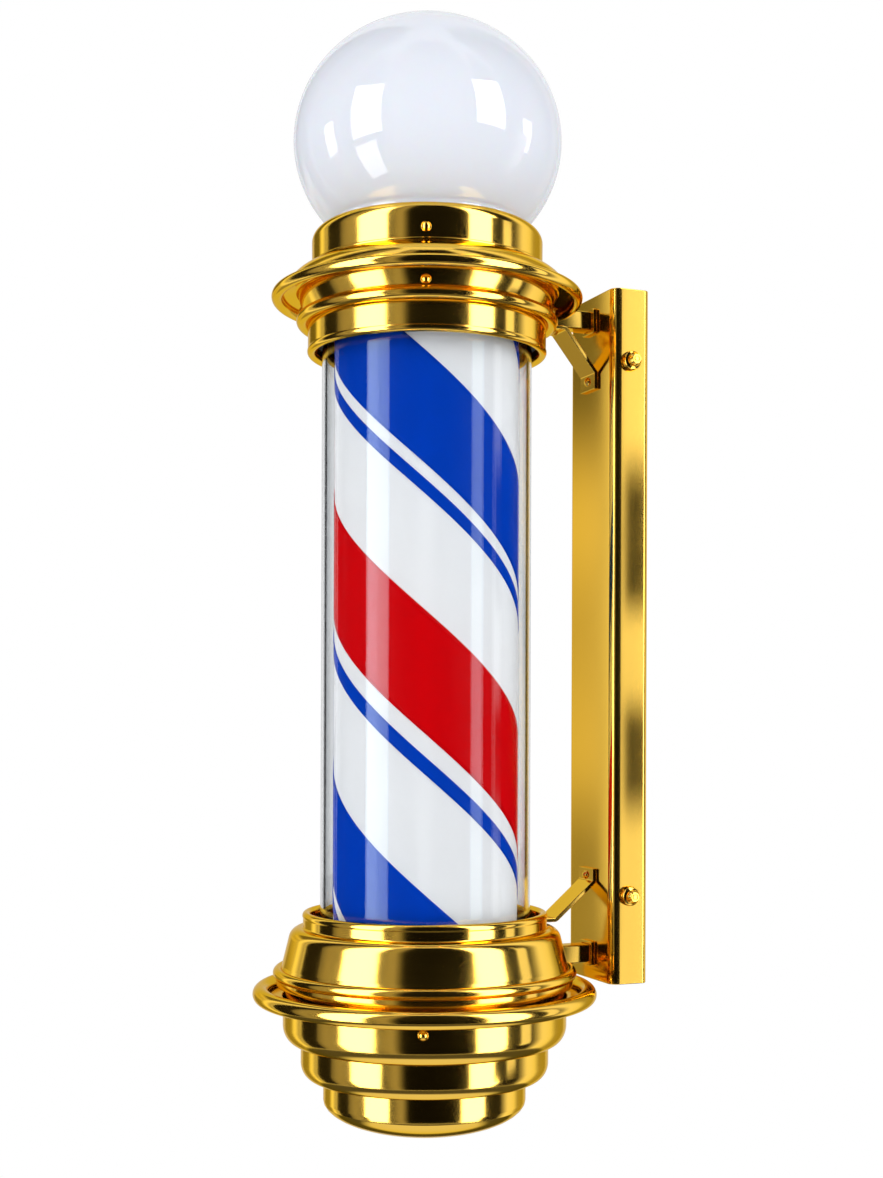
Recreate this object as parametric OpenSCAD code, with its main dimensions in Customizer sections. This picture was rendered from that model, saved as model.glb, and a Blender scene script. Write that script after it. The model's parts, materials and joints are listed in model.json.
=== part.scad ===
// Wall-hung barber pole with a lit globe, a turning striped drum and a folded wall bracket.
// Origin: middle of the wall plate's back face, on the wall. +Z is up and -Y points away from the wall.
// The pole stands on its own centre line, pole_reach in front of the wall. All sizes are in millimetres.

/* [Pole] */
// Distance from the wall to the pole's centre line
pole_reach = 140; // [138:1:170]
// Length of tube that shows between the crown and the base
view_h = 343; // [330:1:370]
// Outer diameter of the clear tube
tube_d = 130; // [126:0.5:131]
// Wall of the clear tube
tube_t = 3; // [2:0.1:4]
// Free gap all round between the clear tube and the metal rings
tube_gap = 4; // [3:0.1:4.5]
// Thickness of the spun metal shells
spun_t = 1.5; // [1.2:0.1:1.8]
// Radius of the small rolled rims
rim_r = 2.6; // [2.2:0.1:3]
// How far the crown's neck stands out from the band under it
neck_step = 2; // [1.9:0.1:2.4]

/* [Crown] */
// Height of the lower band of the crown
band_h = 14.8; // [12:0.1:18]
// Radius of the thick bead above the lower band
bead_r = 3.8; // [3:0.1:4.2]
// Radius of the tube centre line of that bead, measured out from the band's face
bead_out = 3.4; // [3:0.1:4]
// Height of the flange's rolled edge above the foot of the neck
flange_up = 10.3; // [9.5:0.1:14]
// How far the flange reaches past the neck
flange_out = 21.6; // [18:0.1:23]
// Radius of the rolled edge of the flange
flange_r = 3.6; // [3:0.1:4.2]
// Height from the middle of the rolled edge up to the step at the slope's top
slope_h = 14.9; // [12:0.1:18]
// How far the globe holder's band lies inside the neck's face
holder_in = 4.3; // [3:0.1:6]
// Radius of the fine bead at the foot of the globe holder
step_r = 1.3; // [1:0.1:1.6]
// Height of the globe holder's band
holder_h = 18.9; // [16:0.1:24]

/* [Globe] */
// Widest diameter of the globe
globe_d = 166; // [150:1:180]
// Height of the globe if its neck were closed
globe_h = 151; // [140:1:170]
// Wall of the globe
globe_t = 3; // [2:0.1:4]
// Outer diameter of the globe's neck
globe_neck_d = 120; // [112:1:122]
// How far the neck's foot lip stands out
globe_lip = 1.8; // [1.5:0.1:2.4]
// Diameter of the lamp bulb
bulb_d = 60; // [45:1:70]
// Length of the lamp bulb's glass
bulb_h = 80; // [70:1:90]
// Diameter of the bulb's screw cap
cap_d = 26; // [24:0.5:27]

/* [Base] */
// Height of the base's top ring
ring_h = 9.8; // [8:0.1:12]
// Width of the flat shoulder outside the top ring
shoulder_w = 5.3; // [4.5:0.1:6]
// Radius of the shoulder's outer corner
shoulder_r = 3.5; // [3:0.1:4]
// Height of the cone
cone_h = 24.2; // [22:0.1:28]
// How much wider the cone is at its foot
cone_out = 4.2; // [3:0.1:5]
// Radius of the bead under the cone
foot_bead_r = 3.4; // [3:0.1:4]
// Height of the narrow recess under that bead
recess_h = 4.1; // [3:0.1:6]
// How far the base flange reaches past the top ring
base_flange_out = 30.8; // [28:0.1:31]
// Radius of the base flange's rolled edge
base_flange_r = 5.2; // [4.5:0.1:6]
// How far the skirt that carries the bowl reaches down inside it
skirt_h = 24; // [20:0.5:28]
// Heights of the three steps of the bowl
step_h = [35, 22, 14]; // [12:0.5:38]
// Radii of the three steps of the bowl
step_rad = [87.8, 76.7, 62.8]; // [58:0.1:90]
// Radii that round the lower edges of the three steps
step_round = [8, 7, 4.5]; // [3:0.5:9]
// Depth of the dome that closes the bowl
dome_h = 20; // [16:0.5:26]

/* [Drum] */
// Free gap between the clear tube and the striped drum
drum_gap = 5; // [4:0.1:6]
// Wall of the drum
drum_t = 2; // [1.5:0.1:3]
// How far the drum runs on behind each ring
drum_hide = 12; // [8:0.5:13]
// Height that a stripe climbs in one turn
stripe_lead = 319; // [280:1:380]
// Part of a turn, in degrees, that the red and the blue stripe cover
wide_turn = [82, 75]; // [60:1:90]
// Part of a turn, in degrees, that each thin stripe covers
thin_turn = [12, 10]; // [8:1:16]
// White gaps, in degrees, between the wide stripes and the thin ones under them
gap_turn = [15, 10]; // [8:1:20]
// Angles of the red and the blue stripe at half height
stripe_phase = [-50, 125]; // [-180:1:180]
// Thickness of the stripe film
film_t = 0.5; // [0.4:0.05:0.8]

/* [Drive] */
// Diameter of the fixed lamp stem
stem_d = 16; // [12:0.5:18]
// Wall of the lamp stem
stem_t = 1.5; // [1:0.1:2.5]
// Diameter of the motor's output shaft
shaft_d = 7; // [6:0.5:8]
// Diameter of the gear motor
motor_d = 50; // [44:1:56]
// Height of the gear motor
motor_h = 20; // [16:0.5:26]
// Thickness of the two carrier plates
plate_t = 3; // [2:0.1:4]

/* [Bracket] */
// Width of the folded wall bracket
channel_w = 62; // [60:1:70]
// Depth of the folded wall bracket, from the wall
channel_d = 26; // [25:0.5:27]
// How far the folded wall bracket reaches past the arms at both ends
channel_past = 10.2; // [8:0.1:20]
// Thickness of the bracket's sheet
sheet_t = 2; // [1.5:0.1:2.5]
// Outer radius of the two front bends
bend_r = 6; // [4:0.5:7]
// Outer radius of the two rear bends
hem_r = 4; // [3:0.5:5]
// Width of the hem that is folded in along the wall
hem_w = 7; // [5.5:0.5:7.5]
// Distance of the upper side screws from the bracket's top end
upper_screw_in = 46; // [38:1:70]
// Distance of the lower side screws from the bracket's bottom end
lower_screw_in = 56; // [38:1:80]
// Width and height of the square arms
arm_s = 12; // [11:0.5:13]
// Wall of the square arms
arm_t = 1.5; // [1:0.1:2]
// How far the arms reach inside the crown's neck
arm_in = 17.8; // [16:0.1:22]
// How far the arms reach behind the bracket's front
arm_tail = 14; // [12:0.5:18]
// Width of the two brace straps
brace_w = 20; // [18:1:26]
// Thickness of the two brace straps
brace_t = 2.5; // [2:0.1:3]
// How far the inner wall plate stops short of the bracket's two ends
plate_in = 24; // [18:1:30]
// Width of the inner wall plate
wall_plate_w = 44; // [42:1:46]
// Depth of the inner wall plate's sides
wall_plate_d = 19; // [17:0.5:21]
// Diameter of the holes for the wall screws
wall_hole_d = 5.5; // [4.5:0.1:7]
// Distance across between the wall screws
wall_hole_x = 26; // [22:1:28]
// Distance up between the wall screws
wall_hole_z = 320; // [280:5:330]
// Height of the cable hole in the inner wall plate
cable_z = -120; // [-140:1:-60]
// Diameter of that hole
cable_hole_d = 16; // [12:0.5:20]
// Bore of the grommet in it
cable_bore_d = 8; // [6:0.5:9]

/* [Fasteners] */
// Diameter of the machine screws
screw_d = 3; // [2.5:0.1:3.5]
// Diameter of their heads
head_d = 6; // [5.5:0.1:6.4]
// Height of their heads
head_h = 2.2; // [1.8:0.1:2.6]
// Width of their nuts across the flats
nut_w = 5.5; // [5.5:0.1:7]
// Height of their nuts
nut_h = 2.4; // [2:0.1:3]
// Diameter of the pins that hold the arms behind the bracket's front
arm_pin_d = 4; // [3:0.1:4.5]
// Diameter of the side screws
side_screw_d = 5; // [4:0.1:6]
// Diameter of the cup washers under the side screws
cup_d = 12.6; // [11:0.1:14]
// Height of the cup washers
cup_h = 5; // [3:0.1:6]
// Diameter of the side screws' heads
side_head_d = 8.4; // [7.5:0.1:10]
// Height of the side screws' heads
side_head_h = 4; // [3:0.1:5]
// Angle of the screws that face the street, measured about the pole from +X
screw_turn = -22; // [-30:1:-10]

/* [Fits] */
// Clearance between fixed pieces
fit = 0.3; // [0.2:0.05:0.4]
// Radial clearance of a running fit
run_fit = 0.05; // [0.02:0.01:0.1]
// Radial clearance of a screw in its hole
hole_fit = 0.1; // [0.05:0.05:0.2]

/* [Hidden] */
$fn = 96;
steel = "silver";
gold = [0.83, 0.62, 0.20];

// Overlaps that join a piece's own shapes, and gaps that part two pieces
eps = 0.01;
seam = 0.3;
seat_gap = 0.1;

// Pole radii, from the clear tube outwards
rim_proud = 0.4;
tube_r = tube_d / 2;
lip_in_r = tube_r + tube_gap;
band_r = lip_in_r + 2 * rim_r - rim_proud;
neck_r = band_r + neck_step;
spigot_r = neck_r - spun_t - run_fit;
flange_edge_r = neck_r + flange_out;
holder_r = neck_r - holder_in;
step_proud = 0.9;
ring_step = 1.8;
ring_r = band_r + ring_step;

// Crown heights
crown_z = view_h / 2;
bead_z = crown_z + rim_r + band_h + bead_r;
neck_z0 = bead_z + bead_r + fit;
crown_screw_z = neck_z0 + 3.6;
flange_z = neck_z0 + flange_up;
slope_top = flange_z + slope_h;
holder_z0 = slope_top + 2 * step_r;
holder_z1 = holder_z0 + holder_h;

// The slope swells from the step down to the flange's rolled edge
slope_r0 = holder_r + step_proud - seam;
slope_r1 = flange_edge_r - flange_r;
slope_power = 0.6;

// Base radii and heights
foot_bead_out = 2;
recess_in = 2.3;
base_z = -crown_z;
ledge_z = base_z - ring_h;
shoulder_edge_r = ring_r + shoulder_w + shoulder_r;
cone_z1 = ledge_z - cone_h;
cone_foot_r = shoulder_edge_r + cone_out;
foot_bead_z = cone_z1 - foot_bead_r;
foot_bead_mid_r = cone_foot_r + foot_bead_out;
recess_r = foot_bead_mid_r + foot_bead_r - recess_in;
recess_z1 = foot_bead_z - foot_bead_r - recess_h;
base_flange_mid_r = ring_r + base_flange_out - base_flange_r;
base_flange_z = recess_z1 - base_flange_r - seat_gap;
step_z2 = recess_z1 - step_h[0];
step_z3 = step_z2 - step_h[1];
step_z4 = step_z3 - step_h[2];
skirt_r = step_rad[0] - spun_t - run_fit;
bowl_screw_z = recess_z1 - 2 * skirt_h / 3;

// Drum, clear tube, its seals and the shelves that they stand on
tube_hide = 13;
seal_t = 2.4;
seal_lip_h = 6;
seal_wall = 3;
shelf_gap = 1.5;
cap_t = 4;
film_clear = 0.4;
drum_r = tube_r - tube_t - drum_gap;
drum_z0 = base_z - drum_hide;
drum_z1 = crown_z + drum_hide;
tube_z0 = base_z - tube_hide;
tube_z1 = crown_z + tube_hide;
base_shelf_z = tube_z0 - seal_t;
crown_shelf_z = tube_z1 + seal_t;
shelf_in_r = drum_r + shelf_gap;
thin_phase = stripe_phase - wide_turn / 2 - gap_turn - thin_turn / 2;

// Arms: the upper one enters the neck, the lower one the foot of the cone
upper_arm_up = 1;
lower_arm_up = 2.2;
upper_arm_z = neck_z0 + upper_arm_up + arm_s / 2;
lower_arm_z = cone_z1 + lower_arm_up;
web_back = sheet_t - channel_d;
arm_inner_u = neck_r - arm_in;
arm_pin_y = web_back + arm_pin_d / 2 + 3;
channel_h = 2 * (max(upper_arm_z, -lower_arm_z) + arm_s / 2 + channel_past);
plate_h = channel_h - 2 * plate_in;
upper_screw_z = channel_h / 2 - upper_screw_in;
lower_screw_z = lower_screw_in - channel_h / 2;
collar_t = 2.5;
collar_rim = 2;
tie_u = arm_inner_u + 5;

// Carrier plates lie on the two arms, and posts tie them to the shelves
top_plate_z = upper_arm_z + arm_s / 2;
top_plate_r = spigot_r - spun_t - fit;
motor_plate_z = lower_arm_z + arm_s / 2;
motor_plate_r = ring_r - spun_t - fit;
post_r = 4;
post_turn = [30, 150, 270];
post_mid_r = shelf_in_r + post_r + 1.5;
vent_d = 22;
vent_mid_r = 42;

// Gear motor, its shaft and the hub that carries the drum
boss_d = 16;
boss_h = 3;
ear_w = 10;
ear_t = 1.5;
motor_ear_x = motor_d / 2 + ear_w / 2;
motor_floor = 3;
shaft_top = drum_z0 + cap_t + 6;
hub_d = 18;
hub_flange_d = 34;
hub_flange_t = 3;
hub_z0 = motor_plate_z + plate_t + boss_h + 0.5;
hub_screw_mid_r = 12.5;
hub_screw_d = 3;
cap_screw_d = 2.5;
cap_screw_len = 7;
cap_hole = cap_screw_len + 1;

// Power supply and terminal block, under the motor plate
supply_size = [56, 26, 18];
supply_y = -motor_d / 2 - 6 - supply_size[1] / 2;
terminal_size = [34, 16, 12];
terminal_bore_d = 4;
terminal_pitch = 10;

// Lamp stem and inner lights
bush_d = stem_d + 6;
bush_flange_d = bush_d + 6;
stem_z0 = shaft_top + 14;
carrier_s = stem_d + 4;
carrier_z0 = stem_z0 + 6;
carrier_z1 = drum_z1 - cap_t - 12;
led_w = 10;
led_t = 1.6;
stem_nut_w = stem_d + 8;
stem_nut_h = 5;

// Globe and its lamp
globe_r = globe_d / 2;
globe_b = globe_h / 2;
globe_neck_r = globe_neck_d / 2;
globe_sink = 5.8;
gasket_t = 1.5;
holder_shelf_z = holder_z0 - spun_t;
holder_shelf_in_r = globe_neck_r - 8;
globe_foot_z = holder_z0 + gasket_t;
globe_screw_z = globe_foot_z + 2 * globe_lip + 1 + screw_d / 2;
globe_z = holder_z1 + rim_r + globe_sink + globe_b * sqrt(1 - pow(globe_neck_r / globe_r, 2));
socket_d = 38;
socket_h = 52;
socket_z0 = top_plate_z + plate_t;
socket_bore = cap_d + 2 * fit;
cap_h = 24;
bulb_z0 = socket_z0 + socket_h + 1;
bulb_neck_h = 8;

// Wall plate and its side screws
ear_x = wall_plate_w / 2;
side_y = -channel_d / 2 - 1;
side_boss_d = 11;
grommet_rim = 3;
grommet_t = 4;

// Brace straps, one under the upper arm and one over the lower shoulder, both up against the bracket
brace_tab = 10;
foot_u = pole_reach - channel_d - brace_t;
upper_tab_u = band_r + bead_out + bead_r + 1;
brace_tab_u = upper_tab_u + brace_tab / 2;
upper_fold_z = crown_z - 1;
upper_foot_z = upper_fold_z - 5;
upper_end_z = upper_fold_z - 11;
lower_fold_z = ledge_z + 24;
lower_foot_z = lower_fold_z + 4.5;
lower_end_z = lower_fold_z + 9;
lower_tab_u = ring_r + 0.6;
lower_tab_screw_u = ring_r + head_d / 2 + 1;

// Points on an arc about (cx, cz), from angle a0 to a1
function arc(cx, cz, r, a0, a1, n = 8) =
    [for (i = [0 : n]) let (a = a0 + (a1 - a0) * i / n) [cx + r * cos(a), cz + r * sin(a)]];

// Points on an ellipse about (0, cz) with half axes a and b
function oval(cz, a, b, a0, a1, n) =
    [for (i = [0 : n]) let (t = a0 + (a1 - a0) * i / n) [a * cos(t), cz + b * sin(t)]];

module at_pole() { translate([0, -pole_reach, 0]) children(); }

// Turned copies about the pole's centre line
module turned(angles, r) {
    for (a = angles) rotate([0, 0, a]) translate([r, 0, 0]) children();
}

// Points moved inwards by t from an outline that runs down the outside of a shell
function unit(v) = v / norm(v);
function side_normal(p, i) = let (a = unit(p[i] - p[i - 1])) [a[1], -a[0]];
function inner_line(p, t) = [for (i = [len(p) - 1 : -1 : 0])
    let (m = side_normal(p, max(i, 1)), n = side_normal(p, min(i + 1, len(p) - 1)),
        q = p[i] + (m + n) * t / (1 + m * n)) [max(q[0], 0), q[1]]];

// A spun sheet whose outer face follows the points
module sheet(points) { rotate_extrude() polygon(concat(points, inner_line(points, spun_t))); }

// Other pieces of a spun shell: a wall, a flat ring and a rolled bead
module wall(r, z0, z1, t = spun_t) { tube3d(r, r - t, min(z0, z1), max(z0, z1)); }
module flat(r0, r1, z, t = spun_t) { tube3d(r1, r0, z, z + t); }
module bead(r, z, bead_radius) { rotate_extrude() translate([r, z]) circle(bead_radius, $fn = 48); }

module tube3d(r_out, r_in, z0, z1) {
    difference() {
        translate([0, 0, z0]) cylinder(r = r_out, h = z1 - z0);
        translate([0, 0, z0 - 1]) cylinder(r = r_in, h = z1 - z0 + 2);
    }
}

// Screw along +X whose head sits on x = 0 and whose shank runs to -X
module cross_screw(len, d = screw_d, hd = head_d, hh = head_h) {
    slot_w = hd / 6;
    difference() {
        union() {
            translate([-len, 0, 0]) rotate([0, 90, 0]) cylinder(d = d, h = len + hh / 2);
            rotate([0, 90, 0]) cylinder(d = hd, h = hh * 0.6);
            translate([hh * 0.6 - eps, 0, 0]) rotate([0, 90, 0])
                cylinder(d1 = hd, d2 = hd * 0.6, h = hh * 0.4);
        }
        translate([hh * 0.4, -hd * 0.3, -slot_w / 2]) cube([hh, hd * 0.6, slot_w]);
        translate([hh * 0.4, -slot_w / 2, -hd * 0.3]) cube([hh, slot_w, hd * 0.6]);
    }
}

// Room for a screw's shank along X
module screw_room(len, d = screw_d) {
    translate([-len / 2, 0, 0]) rotate([0, 90, 0]) cylinder(r = d / 2 + hole_fit, h = len);
}

module hex_nut(d, w, h) {
    difference() {
        cylinder(d = w / cos(30), h = h, $fn = 6);
        translate([0, 0, -1]) cylinder(r = d / 2 + hole_fit, h = h + 2, $fn = 48);
    }
}

// Square hole through the rear of a shell, for an arm
module arm_room(z) {
    s = arm_s + 2 * hole_fit;
    translate([-s / 2, arm_inner_u - 2, z - s / 2]) cube([s, pole_reach, s]);
}

// Wall bracket

// Section of the folded bracket, with its open side on the wall
module channel2d(w, d, t, front_r, rear_r, lip) {
    difference() {
        union() {
            translate([-w / 2, -d + front_r]) square([w, d - front_r - rear_r]);
            translate([-w / 2 + front_r, -d]) square([w - 2 * front_r, d]);
            translate([-w / 2 + rear_r, -d + front_r]) square([w - 2 * rear_r, d - front_r]);
            for (s = [-1, 1]) {
                translate([s * (w / 2 - front_r), -d + front_r]) circle(front_r, $fn = 64);
                translate([s * (w / 2 - rear_r), -rear_r]) circle(rear_r, $fn = 64);
            }
        }
        translate([-w / 2 + t, -d + front_r]) square([w - 2 * t, d - front_r - rear_r]);
        translate([-w / 2 + front_r, -d + t]) square([w - 2 * front_r, d - 2 * t]);
        translate([-w / 2 + rear_r, -d + front_r]) square([w - 2 * rear_r, d - front_r - t]);
        for (s = [-1, 1]) {
            translate([s * (w / 2 - front_r), -d + front_r]) circle(front_r - t, $fn = 64);
            translate([s * (w / 2 - rear_r), -rear_r]) circle(rear_r - t, $fn = 64);
        }
        translate([-w / 2 + lip, -t - 1]) square([w - 2 * lip, t + 2]);
    }
}

module side_places() {
    for (z = [upper_screw_z, lower_screw_z]) for (s = [0, 1])
        translate([0, side_y, z]) rotate([0, 0, 180 * s]) children();
}

module wall_plate() color(steel) difference() {
    union() {
        translate([-wall_plate_w / 2, -sheet_t, -plate_h / 2]) cube([wall_plate_w, sheet_t, plate_h]);
        for (s = [-1, 1])
            translate([s * (ear_x - sheet_t / 2) - sheet_t / 2, -wall_plate_d, -plate_h / 2])
                cube([sheet_t, wall_plate_d, plate_h]);
        side_places() translate([ear_x - eps, 0, 0]) rotate([0, 90, 0])
            cylinder(d = side_boss_d, h = channel_w / 2 - sheet_t - fit - ear_x);
    }
    side_places() translate([ear_x, 0, 0]) screw_room(2 * (channel_w / 2 - ear_x + sheet_t), side_screw_d);
    for (x = [-1, 1]) for (z = [-1, 1])
        translate([x * wall_hole_x / 2, -sheet_t - 1, z * wall_hole_z / 2]) rotate([-90, 0, 0])
            cylinder(d = wall_hole_d, h = sheet_t + 2);
    translate([0, -sheet_t - 1, cable_z]) rotate([-90, 0, 0]) cylinder(d = cable_hole_d, h = sheet_t + 2);
}

module bracket_channel() color(gold) difference() {
    translate([0, 0, -channel_h / 2]) linear_extrude(channel_h)
        channel2d(channel_w, channel_d, sheet_t, bend_r, hem_r, hem_w);
    side_places() translate([channel_w / 2, 0, 0]) screw_room(4 * sheet_t, side_screw_d);
    at_pole() for (z = [upper_arm_z, lower_arm_z]) arm_room(z);
    for (z = [upper_foot_z, lower_foot_z]) translate([0, -channel_d, z])
        rotate([0, 0, 90]) screw_room(4 * sheet_t);
}

module side_cup_washers() color(gold) side_places() difference() {
    translate([channel_w / 2, 0, 0]) rotate([0, 90, 0]) union() {
        cylinder(d = cup_d, h = cup_h * 0.6);
        translate([0, 0, cup_h * 0.6 - eps]) cylinder(d1 = cup_d, d2 = side_head_d + 0.8, h = cup_h * 0.4);
    }
    translate([channel_w / 2 + cup_h / 2, 0, 0]) screw_room(2 * cup_h, side_screw_d);
}

module side_screws() color(gold) side_places() translate([channel_w / 2 + cup_h, 0, 0])
    cross_screw(cup_h + channel_w / 2 - ear_x + 2, side_screw_d, side_head_d, side_head_h);

// Arms run from inside the shells to behind the bracket's front
module arm(z) {
    len = pole_reach - arm_inner_u + web_back + arm_tail;
    difference() {
        translate([-arm_s / 2, arm_inner_u - pole_reach, z - arm_s / 2]) cube([arm_s, len, arm_s]);
        translate([-arm_s / 2 + arm_t, arm_inner_u - pole_reach - 1, z - arm_s / 2 + arm_t])
            cube([arm_s - 2 * arm_t, len + 2, arm_s - 2 * arm_t]);
        translate([0, arm_pin_y, z]) screw_room(2 * arm_s, arm_pin_d);
        translate([0, -pole_reach + tie_u, z + arm_s / 2]) rotate([0, -90, 0]) screw_room(3 * arm_t);
    }
}

module upper_arm() color(gold) difference() {
    arm(upper_arm_z);
    translate([0, -pole_reach + brace_tab_u, upper_arm_z - arm_s / 2]) rotate([0, -90, 0])
        screw_room(3 * arm_t);
}
module lower_arm() color(gold) arm(lower_arm_z);

module arm_collars() color(gold) for (z = [upper_arm_z, lower_arm_z]) difference() {
    s = arm_s + 2 * collar_rim;
    translate([-s / 2, -channel_d - collar_t, z - s / 2]) cube([s, collar_t, s]);
    at_pole() arm_room(z);
}

module arm_pins() color(steel) for (z = [upper_arm_z, lower_arm_z])
    translate([arm_s / 2, arm_pin_y, z]) cross_screw(arm_s + 6, arm_pin_d, head_d, head_h);

// A strap's side view, thickened along its own path
module strap(points) {
    rotate([90, 0, 90]) translate([0, 0, -brace_w / 2]) linear_extrude(brace_w) polygon(points);
}

module upper_brace() color(gold) at_pole() difference() {
    z = upper_arm_z - arm_s / 2;
    bend = brace_t / 2;
    strap([[upper_tab_u, z], [upper_tab_u + brace_tab + bend, z], [foot_u + brace_t, upper_fold_z + bend],
        [foot_u + brace_t, upper_end_z], [foot_u, upper_end_z], [foot_u, upper_fold_z],
        [upper_tab_u + brace_tab, z - brace_t], [upper_tab_u, z - brace_t]]);
    translate([0, brace_tab_u, z]) rotate([0, -90, 0]) screw_room(4 * brace_t);
    translate([0, foot_u, upper_foot_z]) rotate([0, 0, 90]) screw_room(4 * brace_t);
}

module lower_brace() color(gold) at_pole() difference() {
    z = ledge_z;
    bend = brace_t / 2;
    strap([[lower_tab_u, z], [lower_tab_u + brace_tab + bend, z], [foot_u + brace_t, lower_fold_z - bend],
        [foot_u + brace_t, lower_end_z], [foot_u, lower_end_z], [foot_u, lower_fold_z],
        [lower_tab_u + brace_tab, z + brace_t], [lower_tab_u, z + brace_t]]);
    translate([0, lower_tab_screw_u, z]) rotate([0, -90, 0]) screw_room(4 * brace_t);
    translate([0, foot_u, lower_foot_z]) rotate([0, 0, 90]) screw_room(4 * brace_t);
}

module brace_screws() color(gold) at_pole() {
    foot_len = brace_t + sheet_t + 5;
    for (z = [upper_foot_z, lower_foot_z])
        translate([0, foot_u, z]) rotate([0, 0, -90]) cross_screw(foot_len);
    translate([0, brace_tab_u, upper_arm_z - arm_s / 2 - brace_t]) rotate([0, 90, 0])
        cross_screw(brace_t + arm_t + 4);
    translate([0, lower_tab_screw_u, ledge_z + brace_t]) rotate([0, -90, 0])
        cross_screw(brace_t + spun_t + 3);
}

module brace_nuts() color(steel) for (z = [upper_foot_z, lower_foot_z])
    translate([0, web_back, z]) rotate([-90, 0, 0]) hex_nut(screw_d, nut_w, nut_h);

// Rubber grommet in the wall plate's cable hole
module cable_grommet() color("dimgray") translate([0, 0, cable_z]) rotate([90, 0, 0]) difference() {
    union() {
        translate([0, 0, seat_gap]) cylinder(r = cable_hole_d / 2 - hole_fit, h = sheet_t + 1);
        translate([0, 0, sheet_t]) cylinder(r = cable_hole_d / 2 + grommet_rim, h = grommet_t - sheet_t);
    }
    translate([0, 0, -1]) cylinder(d = cable_bore_d, h = grommet_t + 2);
}

// Crown

// Ring that takes the clear tube's top end and slides up into the globe holder's neck
module crown_ring() color(gold) at_pole() difference() {
    union() {
        bead(band_r - rim_r + rim_proud, crown_z + rim_r, rim_r);
        wall(band_r, crown_z + rim_r, bead_z);
        bead(band_r + bead_out, bead_z, bead_r);
        flat(spigot_r - spun_t, band_r + bead_out, bead_z - spun_t, 2 * spun_t);
        wall(spigot_r, bead_z - spun_t, top_plate_z + plate_t);
        flat(shelf_in_r, band_r - spun_t / 2, crown_shelf_z);
    }
    arm_room(upper_arm_z);
    crown_screw_places() screw_room(8 * spun_t);
    turned(post_turn, post_mid_r) translate([0, 0, crown_shelf_z]) rotate([0, 90, 0]) screw_room(4 * spun_t);
}

module crown_screw_places() {
    turned([for (k = [0 : 3]) screw_turn + 90 * k], neck_r) translate([0, 0, crown_screw_z]) children();
}

// Rim, band, slope, flange and neck, spun as one shell that is open underneath
module globe_holder() color(gold) at_pole() difference() {
    union() {
        bead(holder_r - rim_r + rim_proud, holder_z1, rim_r);
        sheet(concat([[holder_r, holder_z1], [holder_r, slope_top + step_r]],
            [for (i = [0 : 12]) slope_point(i / 12)]));
        bead(holder_r + step_proud, slope_top + step_r, step_r);
        flat(holder_shelf_in_r, holder_r - spun_t / 2, holder_shelf_z);
        bead(flange_edge_r - flange_r, flange_z, flange_r);
        wall(neck_r, neck_z0, slope_z(neck_r) - seam);
    }
    arm_room(upper_arm_z);
    crown_screw_places() screw_room(8 * spun_t);
    globe_screw_places() screw_room(8 * spun_t);
}

// Height and point on the slope, where t runs from 0 at the step to 1 at the flange
function slope_z(r) = flange_z + flange_r
    + (slope_top - flange_z - flange_r) * pow(1 - (r - slope_r0) / (slope_r1 - slope_r0), slope_power);
function slope_point(t) = let (r = slope_r0 + (slope_r1 - slope_r0) * t) [r, slope_z(r)];

module globe_screw_places() {
    turned([for (k = [0 : 2]) screw_turn + 120 * k], holder_r) translate([0, 0, globe_screw_z]) children();
}

module crown_screws() color(gold) at_pole() crown_screw_places() cross_screw(spun_t * 2 + 2);
module globe_screws() color(gold) at_pole() globe_screw_places()
    cross_screw(holder_r - globe_neck_r - seat_gap);

module top_plate() color(steel) at_pole() difference() {
    translate([0, 0, top_plate_z]) cylinder(r = top_plate_r, h = plate_t);
    translate([0, 0, top_plate_z - 1]) cylinder(r = stem_d / 2 + hole_fit, h = plate_t + 2);
    turned(post_turn, post_mid_r) translate([0, 0, top_plate_z]) rotate([0, 90, 0]) screw_room(4 * plate_t);
    translate([0, tie_u, top_plate_z]) rotate([0, 90, 0]) screw_room(4 * plate_t);
    turned([0, 120, 240], vent_mid_r) translate([0, 0, top_plate_z - 1])
        cylinder(d = vent_d, h = plate_t + 2);
}

module posts(z0, z1) {
    turned(post_turn, post_mid_r) difference() {
        translate([0, 0, z0]) cylinder(r = post_r, h = z1 - z0);
        translate([0, 0, z0 - 1]) cylinder(r = screw_d / 2 + hole_fit, h = z1 - z0 + 2);
    }
}
module top_posts() color(steel) at_pole() posts(crown_shelf_z + spun_t, top_plate_z);
module motor_posts() color(steel) at_pole() posts(motor_plate_z + plate_t, base_shelf_z - spun_t);

module top_plate_screws() color(steel) at_pole() {
    turned(post_turn, post_mid_r) {
        translate([0, 0, top_plate_z + plate_t]) rotate([0, -90, 0])
            cross_screw(top_plate_z + plate_t - crown_shelf_z - 2 * seat_gap);
    }
}

module arm_tie_screws() color(steel) at_pole() {
    for (z = [top_plate_z, motor_plate_z]) translate([0, tie_u, z + plate_t]) rotate([0, -90, 0])
        cross_screw(plate_t + arm_t + 3);
}

// Globe and lamp

module globe() color("white") at_pole() rotate_extrude() {
    a = acos(globe_neck_r / globe_r);
    ai = acos((globe_neck_r - globe_t) / (globe_r - globe_t));
    polygon(concat(
        [[globe_neck_r + globe_lip, globe_foot_z], [globe_neck_r + globe_lip, globe_foot_z + globe_lip],
            [globe_neck_r, globe_foot_z + 2 * globe_lip]],
        oval(globe_z, globe_r, globe_b, -a, 90, 40),
        oval(globe_z, globe_r - globe_t, globe_b - globe_t, 90, -ai, 40),
        [[globe_neck_r - globe_t, globe_foot_z]]));
}

module globe_gasket() color("dimgray") at_pole()
    tube3d(globe_neck_r + globe_lip, globe_neck_r - globe_t, holder_z0, globe_foot_z);

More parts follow.
